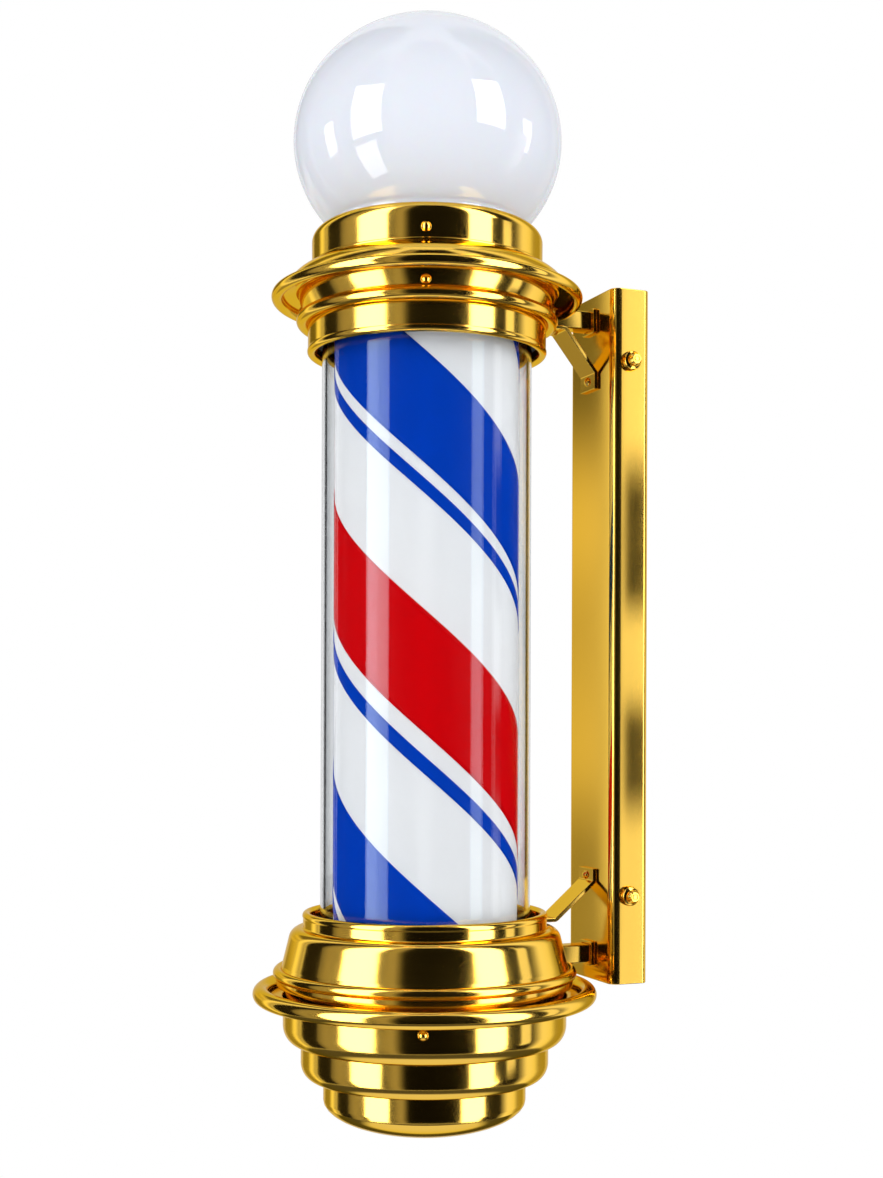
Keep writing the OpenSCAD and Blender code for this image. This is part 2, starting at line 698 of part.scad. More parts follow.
module lamp_socket() color("whitesmoke") at_pole() difference() {
    translate([0, 0, socket_z0]) union() {
        translate([0, 0, stem_nut_h + 1]) cylinder(d = socket_d, h = socket_h - stem_nut_h - 1);
        tube3d(socket_d / 2, stem_nut_w / 2 + 2.4, 0, stem_nut_h + 2);
    }
    translate([0, 0, socket_z0 + socket_h - cap_h - 1]) cylinder(d = socket_bore, h = cap_h + 2);
}

module bulb_cap() color(steel) at_pole() translate([0, 0, bulb_z0 - cap_h])
    cylinder(d = cap_d, h = cap_h - 0.5);

module bulb_glass() color("white") at_pole() rotate_extrude() {
    zc = bulb_z0 + bulb_h - bulb_d / 2;
    neck = cap_d / 2;
    a = -58;
    polygon(concat([[0, bulb_z0 - 0.5], [neck, bulb_z0 - 0.5], [neck, bulb_z0 + bulb_neck_h]],
        arc(0, zc, bulb_d / 2, a, 90, 24)));
}

// Clear tube and its seals

module clear_tube() color([0.9, 0.95, 1, 0.25]) at_pole() tube3d(tube_r, tube_r - tube_t, tube_z0, tube_z1);

module seal(z_face, dir) {
    z_end = z_face + dir * (seal_t + seal_lip_h);
    z_foot = z_face + dir * seal_t;
    tube3d(tube_r + seal_wall, tube_r + run_fit, min(z_face, z_end), max(z_face, z_end));
    tube3d(tube_r + seal_wall, tube_r - tube_t + fit, min(z_face, z_foot), max(z_face, z_foot));
}
module tube_seal_top() color("dimgray") at_pole() seal(crown_shelf_z, -1);
module tube_seal_bottom() color("dimgray") at_pole() seal(base_shelf_z, 1);

// Lamp stem and inner lights, all fixed, hanging from the top plate

module lamp_stem() color(steel) at_pole()
    tube3d(stem_d / 2, stem_d / 2 - stem_t, stem_z0, top_plate_z + plate_t + stem_nut_h);

module stem_nuts() color(steel) at_pole() {
    translate([0, 0, top_plate_z + plate_t]) hex_nut(stem_d, stem_nut_w, stem_nut_h);
    translate([0, 0, top_plate_z - stem_nut_h]) hex_nut(stem_d, stem_nut_w, stem_nut_h);
}

module light_carrier() color(steel) at_pole() difference() {
    translate([-carrier_s / 2, -carrier_s / 2, carrier_z0])
        cube([carrier_s, carrier_s, carrier_z1 - carrier_z0]);
    translate([0, 0, carrier_z0 - 1]) cylinder(r = stem_d / 2 + hole_fit, h = carrier_z1 - carrier_z0 + 2);
}

module light_strips() color("lightyellow") at_pole() for (a = [0 : 90 : 270]) rotate([0, 0, a])
    translate([carrier_s / 2, -led_w / 2, carrier_z0 + 2]) cube([led_t, led_w, carrier_z1 - carrier_z0 - 4]);

// Base

// Top ring, shoulder, cone and bead, with the shelf for the tube and the skirt that the bowl takes
module base_housing() color(gold) at_pole() difference() {
    union() {
        bead(ring_r - rim_r + rim_proud, base_z - rim_r, rim_r);
        sheet(concat([[ring_r, base_z - rim_r], [ring_r, ledge_z]],
            arc(ring_r + shoulder_w, ledge_z - shoulder_r, shoulder_r, 90, 10),
            [[cone_foot_r, cone_z1], [foot_bead_mid_r, foot_bead_z], [recess_r, foot_bead_z - 2],
                [recess_r, recess_z1], [skirt_r, recess_z1], [skirt_r, recess_z1 - skirt_h]]));
        bead(foot_bead_mid_r, foot_bead_z, foot_bead_r);
        wall(ring_r, base_shelf_z - spun_t, ledge_z);
        flat(shelf_in_r, ring_r - spun_t / 2, base_shelf_z - spun_t);
    }
    arm_room(lower_arm_z);
    bowl_screw_places() screw_room(8 * spun_t);
    turned(post_turn, post_mid_r) translate([0, 0, base_shelf_z]) rotate([0, 90, 0]) screw_room(4 * spun_t);
    translate([0, lower_tab_screw_u, ledge_z]) rotate([0, 90, 0]) screw_room(4 * spun_t);
}

module bowl_screw_places() {
    turned([for (k = [0 : 2]) screw_turn + 120 * k], step_rad[0]) translate([0, 0, bowl_screw_z]) children();
}

// One rounded step of the bowl: down its wall and round its lower edge
function bowl_step(r, z, edge) = arc(r - edge, z + edge, edge, 0, -90, 10);

// Flange, three rounded steps and a shallow dome, spun as one bowl
module base_bowl() color(gold) at_pole() difference() {
    union() {
        bead(base_flange_mid_r, base_flange_z, base_flange_r);
        sheet(concat(
            [for (r = [base_flange_mid_r, step_rad[0]]) [r, base_flange_z - spun_t / 2]],
            bowl_step(step_rad[0], step_z2, step_round[0]), [[step_rad[1], step_z2]],
            bowl_step(step_rad[1], step_z3, step_round[1]), [[step_rad[2], step_z3]],
            oval(step_z4, step_rad[2], dome_h, 0, -90, 24)));
    }
    bowl_screw_places() screw_room(8 * spun_t);
}

module bowl_screws() color(gold) at_pole() bowl_screw_places() cross_screw(2 * spun_t + 2);

module motor_plate() color(steel) at_pole() difference() {
    translate([0, 0, motor_plate_z]) cylinder(r = motor_plate_r, h = plate_t);
    translate([0, 0, motor_plate_z - 1]) cylinder(d = boss_d + 2 * hole_fit, h = plate_t + 2);
    turned(post_turn, post_mid_r) translate([0, 0, motor_plate_z]) rotate([0, 90, 0]) screw_room(4 * plate_t);
    translate([0, tie_u, motor_plate_z]) rotate([0, 90, 0]) screw_room(4 * plate_t);
    motor_screw_places() translate([0, 0, motor_plate_z]) rotate([0, 90, 0]) screw_room(4 * plate_t);
    supply_screw_places() translate([0, 0, motor_plate_z]) rotate([0, 90, 0]) screw_room(4 * plate_t);
}

module motor_plate_screws() color(steel) at_pole() {
    len = base_shelf_z - motor_plate_z - 2 * seat_gap;
    turned(post_turn, post_mid_r) translate([0, 0, motor_plate_z]) rotate([0, 90, 0]) cross_screw(len);
}

module motor_screw_places() { for (s = [-1, 1]) translate([s * motor_ear_x, 0, 0]) children(); }

module gear_motor() color(steel) at_pole() difference() {
    z0 = motor_plate_z - motor_h;
    union() {
        translate([0, 0, z0]) cylinder(d = motor_d, h = motor_h);
        translate([0, 0, motor_plate_z - eps]) cylinder(d = boss_d, h = plate_t + boss_h);
        translate([-motor_ear_x, -ear_w / 2, motor_plate_z - ear_t]) cube([2 * motor_ear_x, ear_w, ear_t]);
        motor_screw_places() translate([0, 0, motor_plate_z - ear_t]) cylinder(d = ear_w, h = ear_t);
    }
    translate([0, 0, z0 + motor_floor]) cylinder(r = shaft_d / 2 + run_fit, h = motor_h + plate_t + boss_h);
    motor_screw_places() translate([0, 0, motor_plate_z]) rotate([0, 90, 0]) screw_room(4 * ear_t);
}

module motor_screws() color(steel) at_pole() motor_screw_places()
    translate([0, 0, motor_plate_z + plate_t]) rotate([0, -90, 0]) cross_screw(plate_t + 4);

// Power supply under the plate, beside the motor, with its terminal block
module supply_screw_places() {
    for (s = [-1, 1]) translate([s * (supply_size[0] / 2 - 6), supply_y, 0]) children();
}
module power_supply() color("whitesmoke") at_pole() difference() {
    translate([-supply_size[0] / 2, supply_y - supply_size[1] / 2, motor_plate_z - supply_size[2]])
        cube(supply_size);
    supply_screw_places() translate([0, 0, motor_plate_z]) rotate([0, 90, 0]) screw_room(8 * spun_t);
}
module supply_screws() color(steel) at_pole() supply_screw_places()
    translate([0, 0, motor_plate_z + plate_t]) rotate([0, -90, 0]) cross_screw(plate_t + 5);

module terminal_block() color("ivory") at_pole() difference() {
    z0 = motor_plate_z - terminal_size[2];
    translate([-terminal_size[0] / 2, motor_d / 2 + 4, z0]) cube(terminal_size);
    for (k = [-1 : 1]) translate([k * terminal_pitch, motor_d / 2, z0 + terminal_size[2] / 2])
        rotate([-90, 0, 0]) cylinder(d = terminal_bore_d, h = 2 * terminal_size[1], $fn = 32);
}

// Drum: everything here turns

module drum_tube() color("white") at_pole() difference() {
    tube3d(drum_r, drum_r - drum_t, drum_z0, drum_z1);
    drum_cap_screw_places() screw_room(5 * drum_t, cap_screw_d);
}

// A stripe: a thin arc of film that winds round the drum as it climbs
module stripe(turn_mid, turn) {
    steps = max(2, round(turn / 8));
    sides = 2 * (steps + 1);
    r0 = drum_r + film_clear;
    r1 = r0 + film_t;
    h = drum_z1 - drum_z0 - 2;
    spin = 360 * h / stripe_lead;
    rotate([0, 0, turn_mid + spin / 2]) translate([0, 0, (drum_z0 + drum_z1 - h) / 2])
        linear_extrude(h, twist = spin, slices = 48, $fn = sides)
            polygon(concat(arc(0, 0, r1, -turn / 2, turn / 2, steps),
                arc(0, 0, r0, turn / 2, -turn / 2, steps)));
}
module red_stripe() color("red") at_pole() stripe(stripe_phase[0], wide_turn[0]);
module blue_stripe() color("royalblue") at_pole() stripe(stripe_phase[1], wide_turn[1]);
module thin_stripes() color("royalblue") at_pole() for (k = [0, 1]) stripe(thin_phase[k], thin_turn[k]);

module drum_cap(z, bore_r) {
    difference() {
        translate([0, 0, z]) cylinder(r = drum_r - drum_t - hole_fit, h = cap_t);
        translate([0, 0, z - 1]) cylinder(r = bore_r, h = cap_t + 2);
        drum_cap_screw_places() screw_room(2 * cap_hole, cap_screw_d);
    }
}
module drum_cap_screw_places() {
    for (z = [drum_z0 + cap_t / 2, drum_z1 - cap_t / 2])
        turned([60, 180, 300], drum_r) translate([0, 0, z]) children();
}
module drum_top_cap() color("white") at_pole() drum_cap(drum_z1 - cap_t, bush_d / 2 + hole_fit);
module drum_bottom_cap() color("white") at_pole() difference() {
    drum_cap(drum_z0, shaft_d / 2 + hole_fit);
    hub_screw_places() screw_room(5 * cap_t, hub_screw_d);
}

module drum_cap_screws() color(steel) at_pole() drum_cap_screw_places()
    translate([-2 * seat_gap - cap_screw_len, 0, 0]) rotate([0, 90, 0])
        cylinder(d = cap_screw_d, h = cap_screw_len, $fn = 32);

module drum_bush() color("ivory") at_pole() {
    tube3d(bush_d / 2, stem_d / 2 + run_fit, drum_z1 - 2 * cap_t, drum_z1 + 1);
    tube3d(bush_flange_d / 2, bush_d / 2 - 1, drum_z1 + eps, drum_z1 + 1);
}

module drive_hub() color(steel) at_pole() difference() {
    union() {
        translate([0, 0, hub_z0]) cylinder(d = hub_d, h = drum_z0 - hub_z0);
        translate([0, 0, drum_z0 - hub_flange_t]) cylinder(d = hub_flange_d, h = hub_flange_t);
    }
    translate([0, 0, hub_z0 - 1]) cylinder(r = shaft_d / 2 + hole_fit, h = drum_z0 - hub_z0 + 2);
    hub_screw_places() screw_room(4 * hub_flange_t, hub_screw_d);
}

module hub_screw_places() {
    turned([0, 120, 240], hub_screw_mid_r) translate([0, 0, drum_z0]) rotate([0, -90, 0]) children();
}

module hub_screws() color(steel) at_pole() hub_screw_places() translate([cap_t, 0, 0])
    cross_screw(cap_t + hub_flange_t - 0.5, hub_screw_d, 2 * hub_screw_d, 2);

module motor_shaft() color(steel) at_pole() {
    z0 = motor_plate_z - motor_h + motor_floor + 0.5;
    translate([0, 0, z0]) cylinder(d = shaft_d, h = shaft_top - z0);
}

wall_plate();
bracket_channel();
side_cup_washers();
side_screws();
upper_arm();
lower_arm();
arm_collars();
arm_pins();
upper_brace();
lower_brace();
brace_screws();
brace_nuts();
cable_grommet();
crown_ring();
globe_holder();
crown_screws();
top_plate();
top_posts();
top_plate_screws();
arm_tie_screws();
globe();
globe_gasket();
globe_screws();
lamp_socket();
bulb_glass();
bulb_cap();
tube_seal_top();
clear_tube();
tube_seal_bottom();
lamp_stem();
stem_nuts();
light_carrier();
light_strips();
base_housing();
base_bowl();
bowl_screws();
motor_plate();
motor_posts();
motor_plate_screws();
gear_motor();
motor_screws();
power_supply();
supply_screws();
terminal_block();
drum_tube();
red_stripe();
blue_stripe();
thin_stripes();
drum_top_cap();
drum_bush();
drum_bottom_cap();
drum_cap_screws();
drive_hub();
hub_screws();
motor_shaft();
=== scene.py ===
# %% [markdown]
# A wall-hung barber pole: opal globe, gold crown, a striped drum that turns in a clear tube, a stepped gold
# base and a folded gold bracket. Nearly everything is mirror-bright metal, so the shapes are lathe-turned
# meshes with true rounded edges, and the studio round them is made as carefully as the pole.
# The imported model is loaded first: it gives each part's place, and the scene is built round it.

# %% Load the frame
import json
import math

import bmesh
import bpy
from mathutils import Matrix, Vector


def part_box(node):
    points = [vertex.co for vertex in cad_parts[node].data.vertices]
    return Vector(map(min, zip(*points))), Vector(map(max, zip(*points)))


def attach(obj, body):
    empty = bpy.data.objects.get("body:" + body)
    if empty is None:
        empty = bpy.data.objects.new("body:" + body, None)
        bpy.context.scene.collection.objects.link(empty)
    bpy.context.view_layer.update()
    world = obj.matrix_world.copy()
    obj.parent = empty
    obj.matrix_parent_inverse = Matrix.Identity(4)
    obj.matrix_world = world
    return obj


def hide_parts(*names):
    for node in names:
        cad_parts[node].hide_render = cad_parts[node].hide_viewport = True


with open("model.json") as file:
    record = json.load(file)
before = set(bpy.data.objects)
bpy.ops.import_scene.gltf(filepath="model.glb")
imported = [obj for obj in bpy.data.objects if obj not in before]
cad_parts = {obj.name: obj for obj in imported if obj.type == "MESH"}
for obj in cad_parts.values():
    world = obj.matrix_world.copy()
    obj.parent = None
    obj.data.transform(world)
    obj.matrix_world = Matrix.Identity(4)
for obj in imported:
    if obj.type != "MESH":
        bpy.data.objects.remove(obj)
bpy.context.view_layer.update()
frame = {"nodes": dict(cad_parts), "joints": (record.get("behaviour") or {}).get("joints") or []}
SPIN = frame["joints"][0]
POLE = Vector(SPIN["pos_m"])
print("frame:", len(frame["nodes"]), "nodes, pole axis at", tuple(POLE))

# %% [markdown]
# Blender works in metres and the pole was measured in millimetres, so every size is written as so many MM.
# The sizes that the photograph shows best are few: the tube, the bands and the globe. The rest is worked
# out from them, as the maker of the spun shells would: SHEET is the metal's thickness, SLIP the gap of a
# sliding fit, and heights are taken from the frame's own boxes.

# %% Driving sizes
MM = 0.001
X, Y, Z = 0, 1, 2


def low(node, axis=Z):
    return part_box(node)[0][axis]


def high(node, axis=Z):
    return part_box(node)[1][axis]


def middle(node, axis=Z):
    return (low(node, axis) + high(node, axis)) / 2


SHEET = 1.5 * MM
RIM_R = 2.6 * MM
RIM_PROUD = 0.4 * MM
TUBE_R = 65 * MM
TUBE_WALL = 3 * MM
TUBE_GAP = 4 * MM
BAND_R = TUBE_R + TUBE_GAP + 2 * RIM_R - RIM_PROUD
NECK_R = BAND_R + 2 * MM
SLIP = 0.05 * MM
SPIGOT_R = NECK_R - SHEET - SLIP
HOLDER_R = NECK_R - 4.3 * MM
RING_R = BAND_R + 1.8 * MM
CROWN_Z = low("crown_ring")
BASE_Z = high("base_housing")
print("band", round(BAND_R / MM, 1), "mm, glass shows from", BASE_Z, "to", CROWN_Z)

# %% [markdown]
# The camera stands to the right of the pole, level with the lower half of the tube, as the vanishing points
# of the bracket show. It looks level and its frame is shifted up, so the pole's sides stay upright.

# %% Camera
CAMERA_TURN = math.radians(-22)
CAMERA_AWAY = 1.025
CAMERA_SIDE = 0.0098
CAMERA_Z = -0.052
CAMERA_ROLL = 0.0035
FOCAL_PX = 1650
FRAME_H_PX = 1178
HORIZON_PX = 718
SENSOR_MM = 36

to_camera = Vector((math.cos(CAMERA_TURN), math.sin(CAMERA_TURN), 0))
to_right = Vector((-math.sin(CAMERA_TURN), math.cos(CAMERA_TURN), 0))
camera_data = bpy.data.cameras.new("camera")
camera_data.sensor_width = SENSOR_MM
camera_data.lens = SENSOR_MM * FOCAL_PX / FRAME_H_PX
camera_data.shift_y = (HORIZON_PX - FRAME_H_PX / 2) / FRAME_H_PX
camera_data.clip_end = 30
camera = bpy.data.objects.new("camera", camera_data)
camera.location = Vector((POLE.x, POLE.y, CAMERA_Z)) + to_camera * CAMERA_AWAY + to_right * CAMERA_SIDE
camera.rotation_euler = (math.pi / 2, -CAMERA_ROLL, CAMERA_TURN + math.pi / 2)
bpy.context.scene.collection.objects.link(camera)
bpy.context.scene.camera = camera
print("camera at", tuple(round(x, 3) for x in camera.location), "lens", round(camera_data.lens, 1))

# %% [markdown]
# Shader and geometry trees are built in the script. They could be drawn by hand and loaded from a file, but a
# script shows every value. Small helpers keep it readable: one makes a group with named sockets, one puts a
# node in a tree, and one does arithmetic. An input that is given a pair of a node and its output is linked.

# %% Helpers for node trees
def new_group(name, kind, inputs, outputs):
    """An empty node group. inputs and outputs are rows of name and socket type, some with a default."""
    tree = bpy.data.node_groups.new(name, kind)
    for way, rows in (("INPUT", inputs), ("OUTPUT", outputs)):
        for socket_name, socket_type, *default in rows:
            socket = tree.interface.new_socket(socket_name, in_out=way, socket_type=socket_type)
            if default:
                socket.default_value = default[0]
    return tree


def fill(node, values):
    """Give a node's inputs, by name or number, their values or links."""
    for key, value in values.items():
        if isinstance(value, tuple) and isinstance(value[0], bpy.types.Node):
            node.id_data.links.new(value[0].outputs[value[1]], node.inputs[key])
        else:
            node.inputs[key].default_value = value


def put(tree, node_type, values=None, **settings):
    """A new node with its settings and its inputs filled."""
    node = tree.nodes.new(node_type)
    for key, value in settings.items():
        setattr(node, key, value)
    fill(node, values or {})
    return node


def calc(tree, operation, a, b=0.5):
    """The result of a Math node, as a pair for other inputs."""
    return put(tree, "ShaderNodeMath", {0: a, 1: b}, operation=operation), "Value"

# %% [markdown]
# Polished metal is never perfectly even: the buffing wheel leaves soft haze in patches and waves too shallow
# to see except in what they reflect. One group makes both, and every metal and plastic uses it with its own
# amounts. It puts out a roughness and a normal, which change over the surface, and a tone for the colour.

# %% Shared group: buffed surface
F, V, WHOLE = "NodeSocketFloat", "NodeSocketVector", "NodeSocketInt"
tree = buffed = new_group("buffed_surface", "ShaderNodeTree",
    [("Roughness", F, 0.1), ("Haze", F, 0.05), ("Haze Scale", F, 20), ("Wave", F, 0.1), ("Wave Scale", F, 25),
     ("Grain", F, 0.0), ("Grain Scale", F, 900), ("Tone Low", F, 0.9)],
    [("Roughness", F), ("Normal", V), ("Tone", F)])
source = put(tree, "NodeGroupInput")
place = put(tree, "ShaderNodeTexCoord")


def noise(name, detail, roughness):
    """Noise over the surface, at the scale that the group's input of this name gives."""
    return put(buffed, "ShaderNodeTexNoise", {"Vector": (place, "Object"), "Scale": (source, f"{name} Scale"),
        "Detail": detail, "Roughness": roughness}), "Fac"


haze = noise("Haze", 5, 0.6)
haze_step = put(tree, "ShaderNodeMapRange", {"Value": haze, "From Min": 0.42, "From Max": 0.75})
haze_amount = calc(tree, "MULTIPLY", (haze_step, "Result"), (source, "Haze"))
tone = put(tree, "ShaderNodeMapRange", {"Value": haze, "To Min": (source, "Tone Low"), "To Max": 1.0})
wave = put(tree, "ShaderNodeBump", {"Height": noise("Wave", 1, 0.4), "Strength": (source, "Wave"),
    "Distance": 1 * MM})
grain = put(tree, "ShaderNodeBump", {"Height": noise("Grain", 3, 0.6), "Strength": (source, "Grain"),
    "Distance": 0.2 * MM, "Normal": (wave, "Normal")})
put(tree, "NodeGroupOutput", {"Roughness": calc(tree, "ADD", haze_amount, (source, "Roughness")),
    "Normal": (grain, "Normal"), "Tone": (tone, "Result")})
print("group", buffed.name, "with", len(buffed.nodes), "nodes")

# %% [markdown]
# A material is one Principled BSDF whose roughness, normal and tone come from that group. What is the same
# all over the surface, such as the sheen of a coat or the bending of glass, is set on the shader itself.

# %% Material maker
def buffed_material(name, colour, metallic=0.0, plain=None, shade=0.8, **amounts):
    """A material of one colour with the buffed surface's haze, waves and grain. plain sets shader sockets."""
    material = bpy.data.materials.new(name)
    material.use_nodes = True
    material.diffuse_color = (*colour, 1)
    tree = material.node_tree
    finish = put(tree, "ShaderNodeGroup", {key.replace("_", " ").title(): amount
        for key, amount in amounts.items()}, node_tree=buffed)
    tint = put(tree, "ShaderNodeMix", {"Factor": (finish, "Tone"), "A": (*(x * shade for x in colour), 1),
        "B": (*colour, 1)}, data_type="RGBA")
    fill(tree.nodes["Principled BSDF"], {"Metallic": metallic, "Base Color": (tint, "Result"),
        "Roughness": (finish, "Roughness"), "Normal": (finish, "Normal"), **(plain or {})})
    return material

# %% [markdown]
# The gold is a thin bright plate over spun steel: as a mirror it is almost perfect on the turned shells, and
# a little softer on the folded bracket, whose flat sheet was buffed by hand. All three share one colour.

# %% Gold plate
PLATE = {"colour": (0.94, 0.59, 0.10), "metallic": 1.0, "tone_low": 0.7,
    "plain": {"Specular Tint": (0.90, 0.72, 0.30, 1)}}
gold = buffed_material("gold_plate", **PLATE, roughness=0.105, haze=0.06, haze_scale=14, wave=0.03,
    wave_scale=30, grain=0.02)
gold_sheet = buffed_material("gold_plate_on_sheet", **PLATE, roughness=0.12, haze=0.06, haze_scale=9,
    wave=0.14, wave_scale=16, grain=0.03)
gold_screw = buffed_material("gold_screw", **PLATE, roughness=0.11, haze=0.03, haze_scale=90, wave=0.03,
    wave_scale=200, grain=0.03, grain_scale=2500)

# %% [markdown]
# The drum is white plastic and the stripes are printed film. The tube in front of them carries the hard
# reflections, so the films themselves are only softly glossy, which keeps their colours deep.

# %% Drum and stripe films
SOFT = {"wave": 0.02, "grain": 0.03, "plain": {"Specular IOR Level": 0.03}}
white_drum = buffed_material("white_drum", (0.985, 0.99, 0.995), shade=0.97, roughness=0.25, haze=0.06,
    **SOFT)
red_film, blue_film = (buffed_material(name, colour, shade=0.93, roughness=0.18, haze=0.05, **SOFT)
    for name, colour in (("red_film", (0.73, 0.0006, 0.003)), ("blue_film", (0.0003, 0.052, 0.53))))

# %% [markdown]
# The opal globe is white glass: smooth and glossy outside, milky inside, so light spreads in it before it
# comes back. The clear tube is plain glass to the eye and the mirror rays, but lets the lamps' light through
# to the drum, because a path tracer can't carry sharp lamp light through a bent clear wall cleanly. Its wall
# takes a little light for each millimetre, so it darkens only at the edges, where the eye looks along it.

# %% Opal glass and clear tube
def choose(tree, factor, usual, other):
    """End a material: its surface is one shader, or the other where the factor is 1."""
    blend = put(tree, "ShaderNodeMixShader", {0: factor, 1: (usual, 0), 2: (other, 0)})
    fill(tree.nodes["Material Output"], {"Surface": (blend, 0)})


opal_glass = buffed_material("opal_glass", (0.825, 0.845, 0.935), shade=0.985, roughness=0.015, haze=0.005,
    wave=0.02, wave_scale=12, plain={"Subsurface Weight": 0.15, "Subsurface Scale": 8 * MM})
bulb_opal = buffed_material("bulb_opal", (0.88, 0.88, 0.85), shade=0.96, roughness=0.3, haze=0.1,
    plain={"Subsurface Weight": 0.3, "Subsurface Scale": 4 * MM})
clear_tube = buffed_material("clear_tube", (0.97, 0.985, 1.0), shade=0.99, roughness=0.0, haze=0.012,
    wave=0.02, wave_scale=9, plain={"Transmission Weight": 1.0, "IOR": 1.49})
tree = clear_tube.node_tree
rays = put(tree, "ShaderNodeLightPath")
choose(tree, (rays, "Is Shadow Ray"), tree.nodes["Principled BSDF"],
    put(tree, "ShaderNodeBsdfTransparent", {"Color": (1, 1, 1, 1)}))
wall_tint = put(tree, "ShaderNodeVolumeAbsorption", {"Color": (0.1, 0.12, 0.14, 1), "Density": 12.0})
fill(tree.nodes["Material Output"], {"Volume": (wall_tint, 0)})

# %% [markdown]
# Each piece ends the same way: its mesh becomes an object at the origin, it rides on its body, and the
# CAD nodes that it takes the place of are hidden. One function does that and counts the faces.

# %% Finishing a piece
def finish_piece(piece, *nodes, body="frame", slot="polished_gold"):
    """Let a finished object ride on its body, and hide the CAD nodes that it takes the place of, if any."""
    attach(piece, body)
    if nodes:
        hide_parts(*nodes)
    print(piece.name, "has", len(piece.data.polygons), "faces")


def mesh_object(name, bm, material):
    """A smooth object from a bmesh."""
    mesh = bpy.data.meshes.new(name)
    bm.to_mesh(mesh)
    bm.free()
    mesh.materials.append(material)
    mesh.shade_smooth()
    piece = bpy.data.objects.new(name, mesh)
    bpy.context.scene.collection.objects.link(piece)
    return piece


def apply_modifiers(piece):
    """Turn an object with its modifiers into a plain mesh."""
    bpy.context.view_layer.update()
    shaped = piece.evaluated_get(bpy.context.evaluated_depsgraph_get())
    mesh = bpy.data.meshes.new_from_object(shaped)
    mesh.name = piece.name
    piece.modifiers.clear()
    piece.data = mesh
    return piece

# %% [markdown]
# A spun shell is an outline turned about the pole's centre line. The outline is written as its maker would
# draw it: corners with a radius, and beads as arcs. Where a long straight stretch meets a curve, one more
# point is set close to the join, so that smooth shading keeps the straight wall truly straight. That matters
# here more than anywhere: a mirror shows every false bend of its normals.

# %% Outlines
ROUND_STEP = 7.5
EDGE_KEEP = 0.15 * MM
LONG_STRETCH = 8 * EDGE_KEEP
SHARP_BEND = 15
SAME_SPOT, ON_AXIS = 1e-6, 1e-7


def arc(mid_r, mid_z, radius, start, end, squash=1.0, steps=None):
    """Points of a round stretch, from start to end in degrees. squash flattens it to an oval."""
    steps = steps or max(4, math.ceil(abs(end - start) / ROUND_STEP))
    turns = [math.radians(start + (end - start) * i / steps) for i in range(steps + 1)]
    return [(mid_r + radius * math.cos(a), mid_z + radius * squash * math.sin(a)) for a in turns]


def rounded_corner(before, corner, after, radius):
    """Points that round one corner of an outline."""
    corner, before, after = Vector(corner), Vector(before), Vector(after)
    into, away = (before - corner).normalized(), (after - corner).normalized()
    half = into.angle(away) / 2
    mid = corner + (into + away).normalized() * radius / math.sin(half)
    start = corner + into * radius / math.tan(half) - mid
    end = corner + away * radius / math.tan(half) - mid
    swing = start.angle_signed(end)
    steps = max(3, math.ceil(abs(math.degrees(swing)) / (2 * ROUND_STEP)))
    return [tuple(mid + Matrix.Rotation(-swing * i / steps, 2) @ start) for i in range(steps + 1)]


def outline(*points, closed=True):
    """Round the corners that carry a radius, then hold long straight stretches beside their ends."""
    soft = []
    for i, p in enumerate(points):
        if len(p) == 3 and (closed or 0 < i < len(points) - 1):
            soft += rounded_corner(points[i - 1][:2], p[:2], points[(i + 1) % len(points)][:2], p[2])
        elif not soft or math.dist(soft[-1], p[:2]) > SAME_SPOT:
            soft.append(tuple(p[:2]))
    held = []
    count = len(soft)
    for i, p in enumerate(soft):
        held.append(p)
        if i == count - 1 and not closed:
            break
        q = soft[(i + 1) % count]
        length = math.dist(p, q)
        before = math.dist(soft[i - 1], p) if closed or i > 0 else length
        after = math.dist(q, soft[(i + 2) % count]) if closed or i < count - 2 else length
        if length > LONG_STRETCH:
            for share, neighbour in ((EDGE_KEEP / length, before), (1 - EDGE_KEEP / length, after)):
                if neighbour < length / 2 or bend_at(soft, i if neighbour is before else i + 1) > SHARP_BEND:
                    held.append((p[0] + (q[0] - p[0]) * share, p[1] + (q[1] - p[1]) * share))
    return held


def bend_at(points, i):
    """Degrees by which a line of points turns at one of them."""
    a, b, c = (Vector(points[(i + k) % len(points)]) for k in (-1, 0, 1))
    if min((b - a).length, (c - b).length) < ON_AXIS:
        return 0
    return math.degrees((b - a).angle(c - b))

# %% [markdown]
# The turning itself joins each point's ring to the next one's. An outline that runs down the outside of a
# shell gives faces that look outwards, and a point on the axis becomes one closed pole.

# %% Turning an outline
TURNS = 192
TO_POLE = Matrix.Translation((POLE.x, POLE.y, 0))


def turned(points, closed=True, turns=TURNS, place=TO_POLE):
    """A bmesh of an outline turned about Z, then put in its place."""
    bm = bmesh.new()
    rings = []
    for r, z in points:
        count = 1 if r < ON_AXIS else turns
        around = [2 * math.pi * k / turns for k in range(count)]
        rings.append([bm.verts.new((r * math.cos(a), r * math.sin(a), z)) for a in around])
    for upper, lower in zip(rings, rings[1:] + (rings[:1] if closed else [])):
        for k in range(turns):
            corners = (upper[k % len(upper)], lower[k % len(lower)],
                lower[(k + 1) % len(lower)], upper[(k + 1) % len(upper)])
            corners = list(dict.fromkeys(corners))
            if len(corners) > 2:
                bm.faces.new(corners)
    bm.transform(place)
    return bm


def spun_shell(name, node, *points, material=gold, closed=True, **finish):
    """A shell turned about the pole's centre line, in place of a CAD node."""
    piece = mesh_object(name, turned(outline(*points, closed=closed), closed), material)
    finish_piece(piece, node, **finish)
    return piece

# %% [markdown]
# The lower crown ring: a rolled rim round the tube, a plain band, one thick bead, and above it the spigot
# that slides up into the neck. Inside it turns in as a shelf that the tube hangs from.

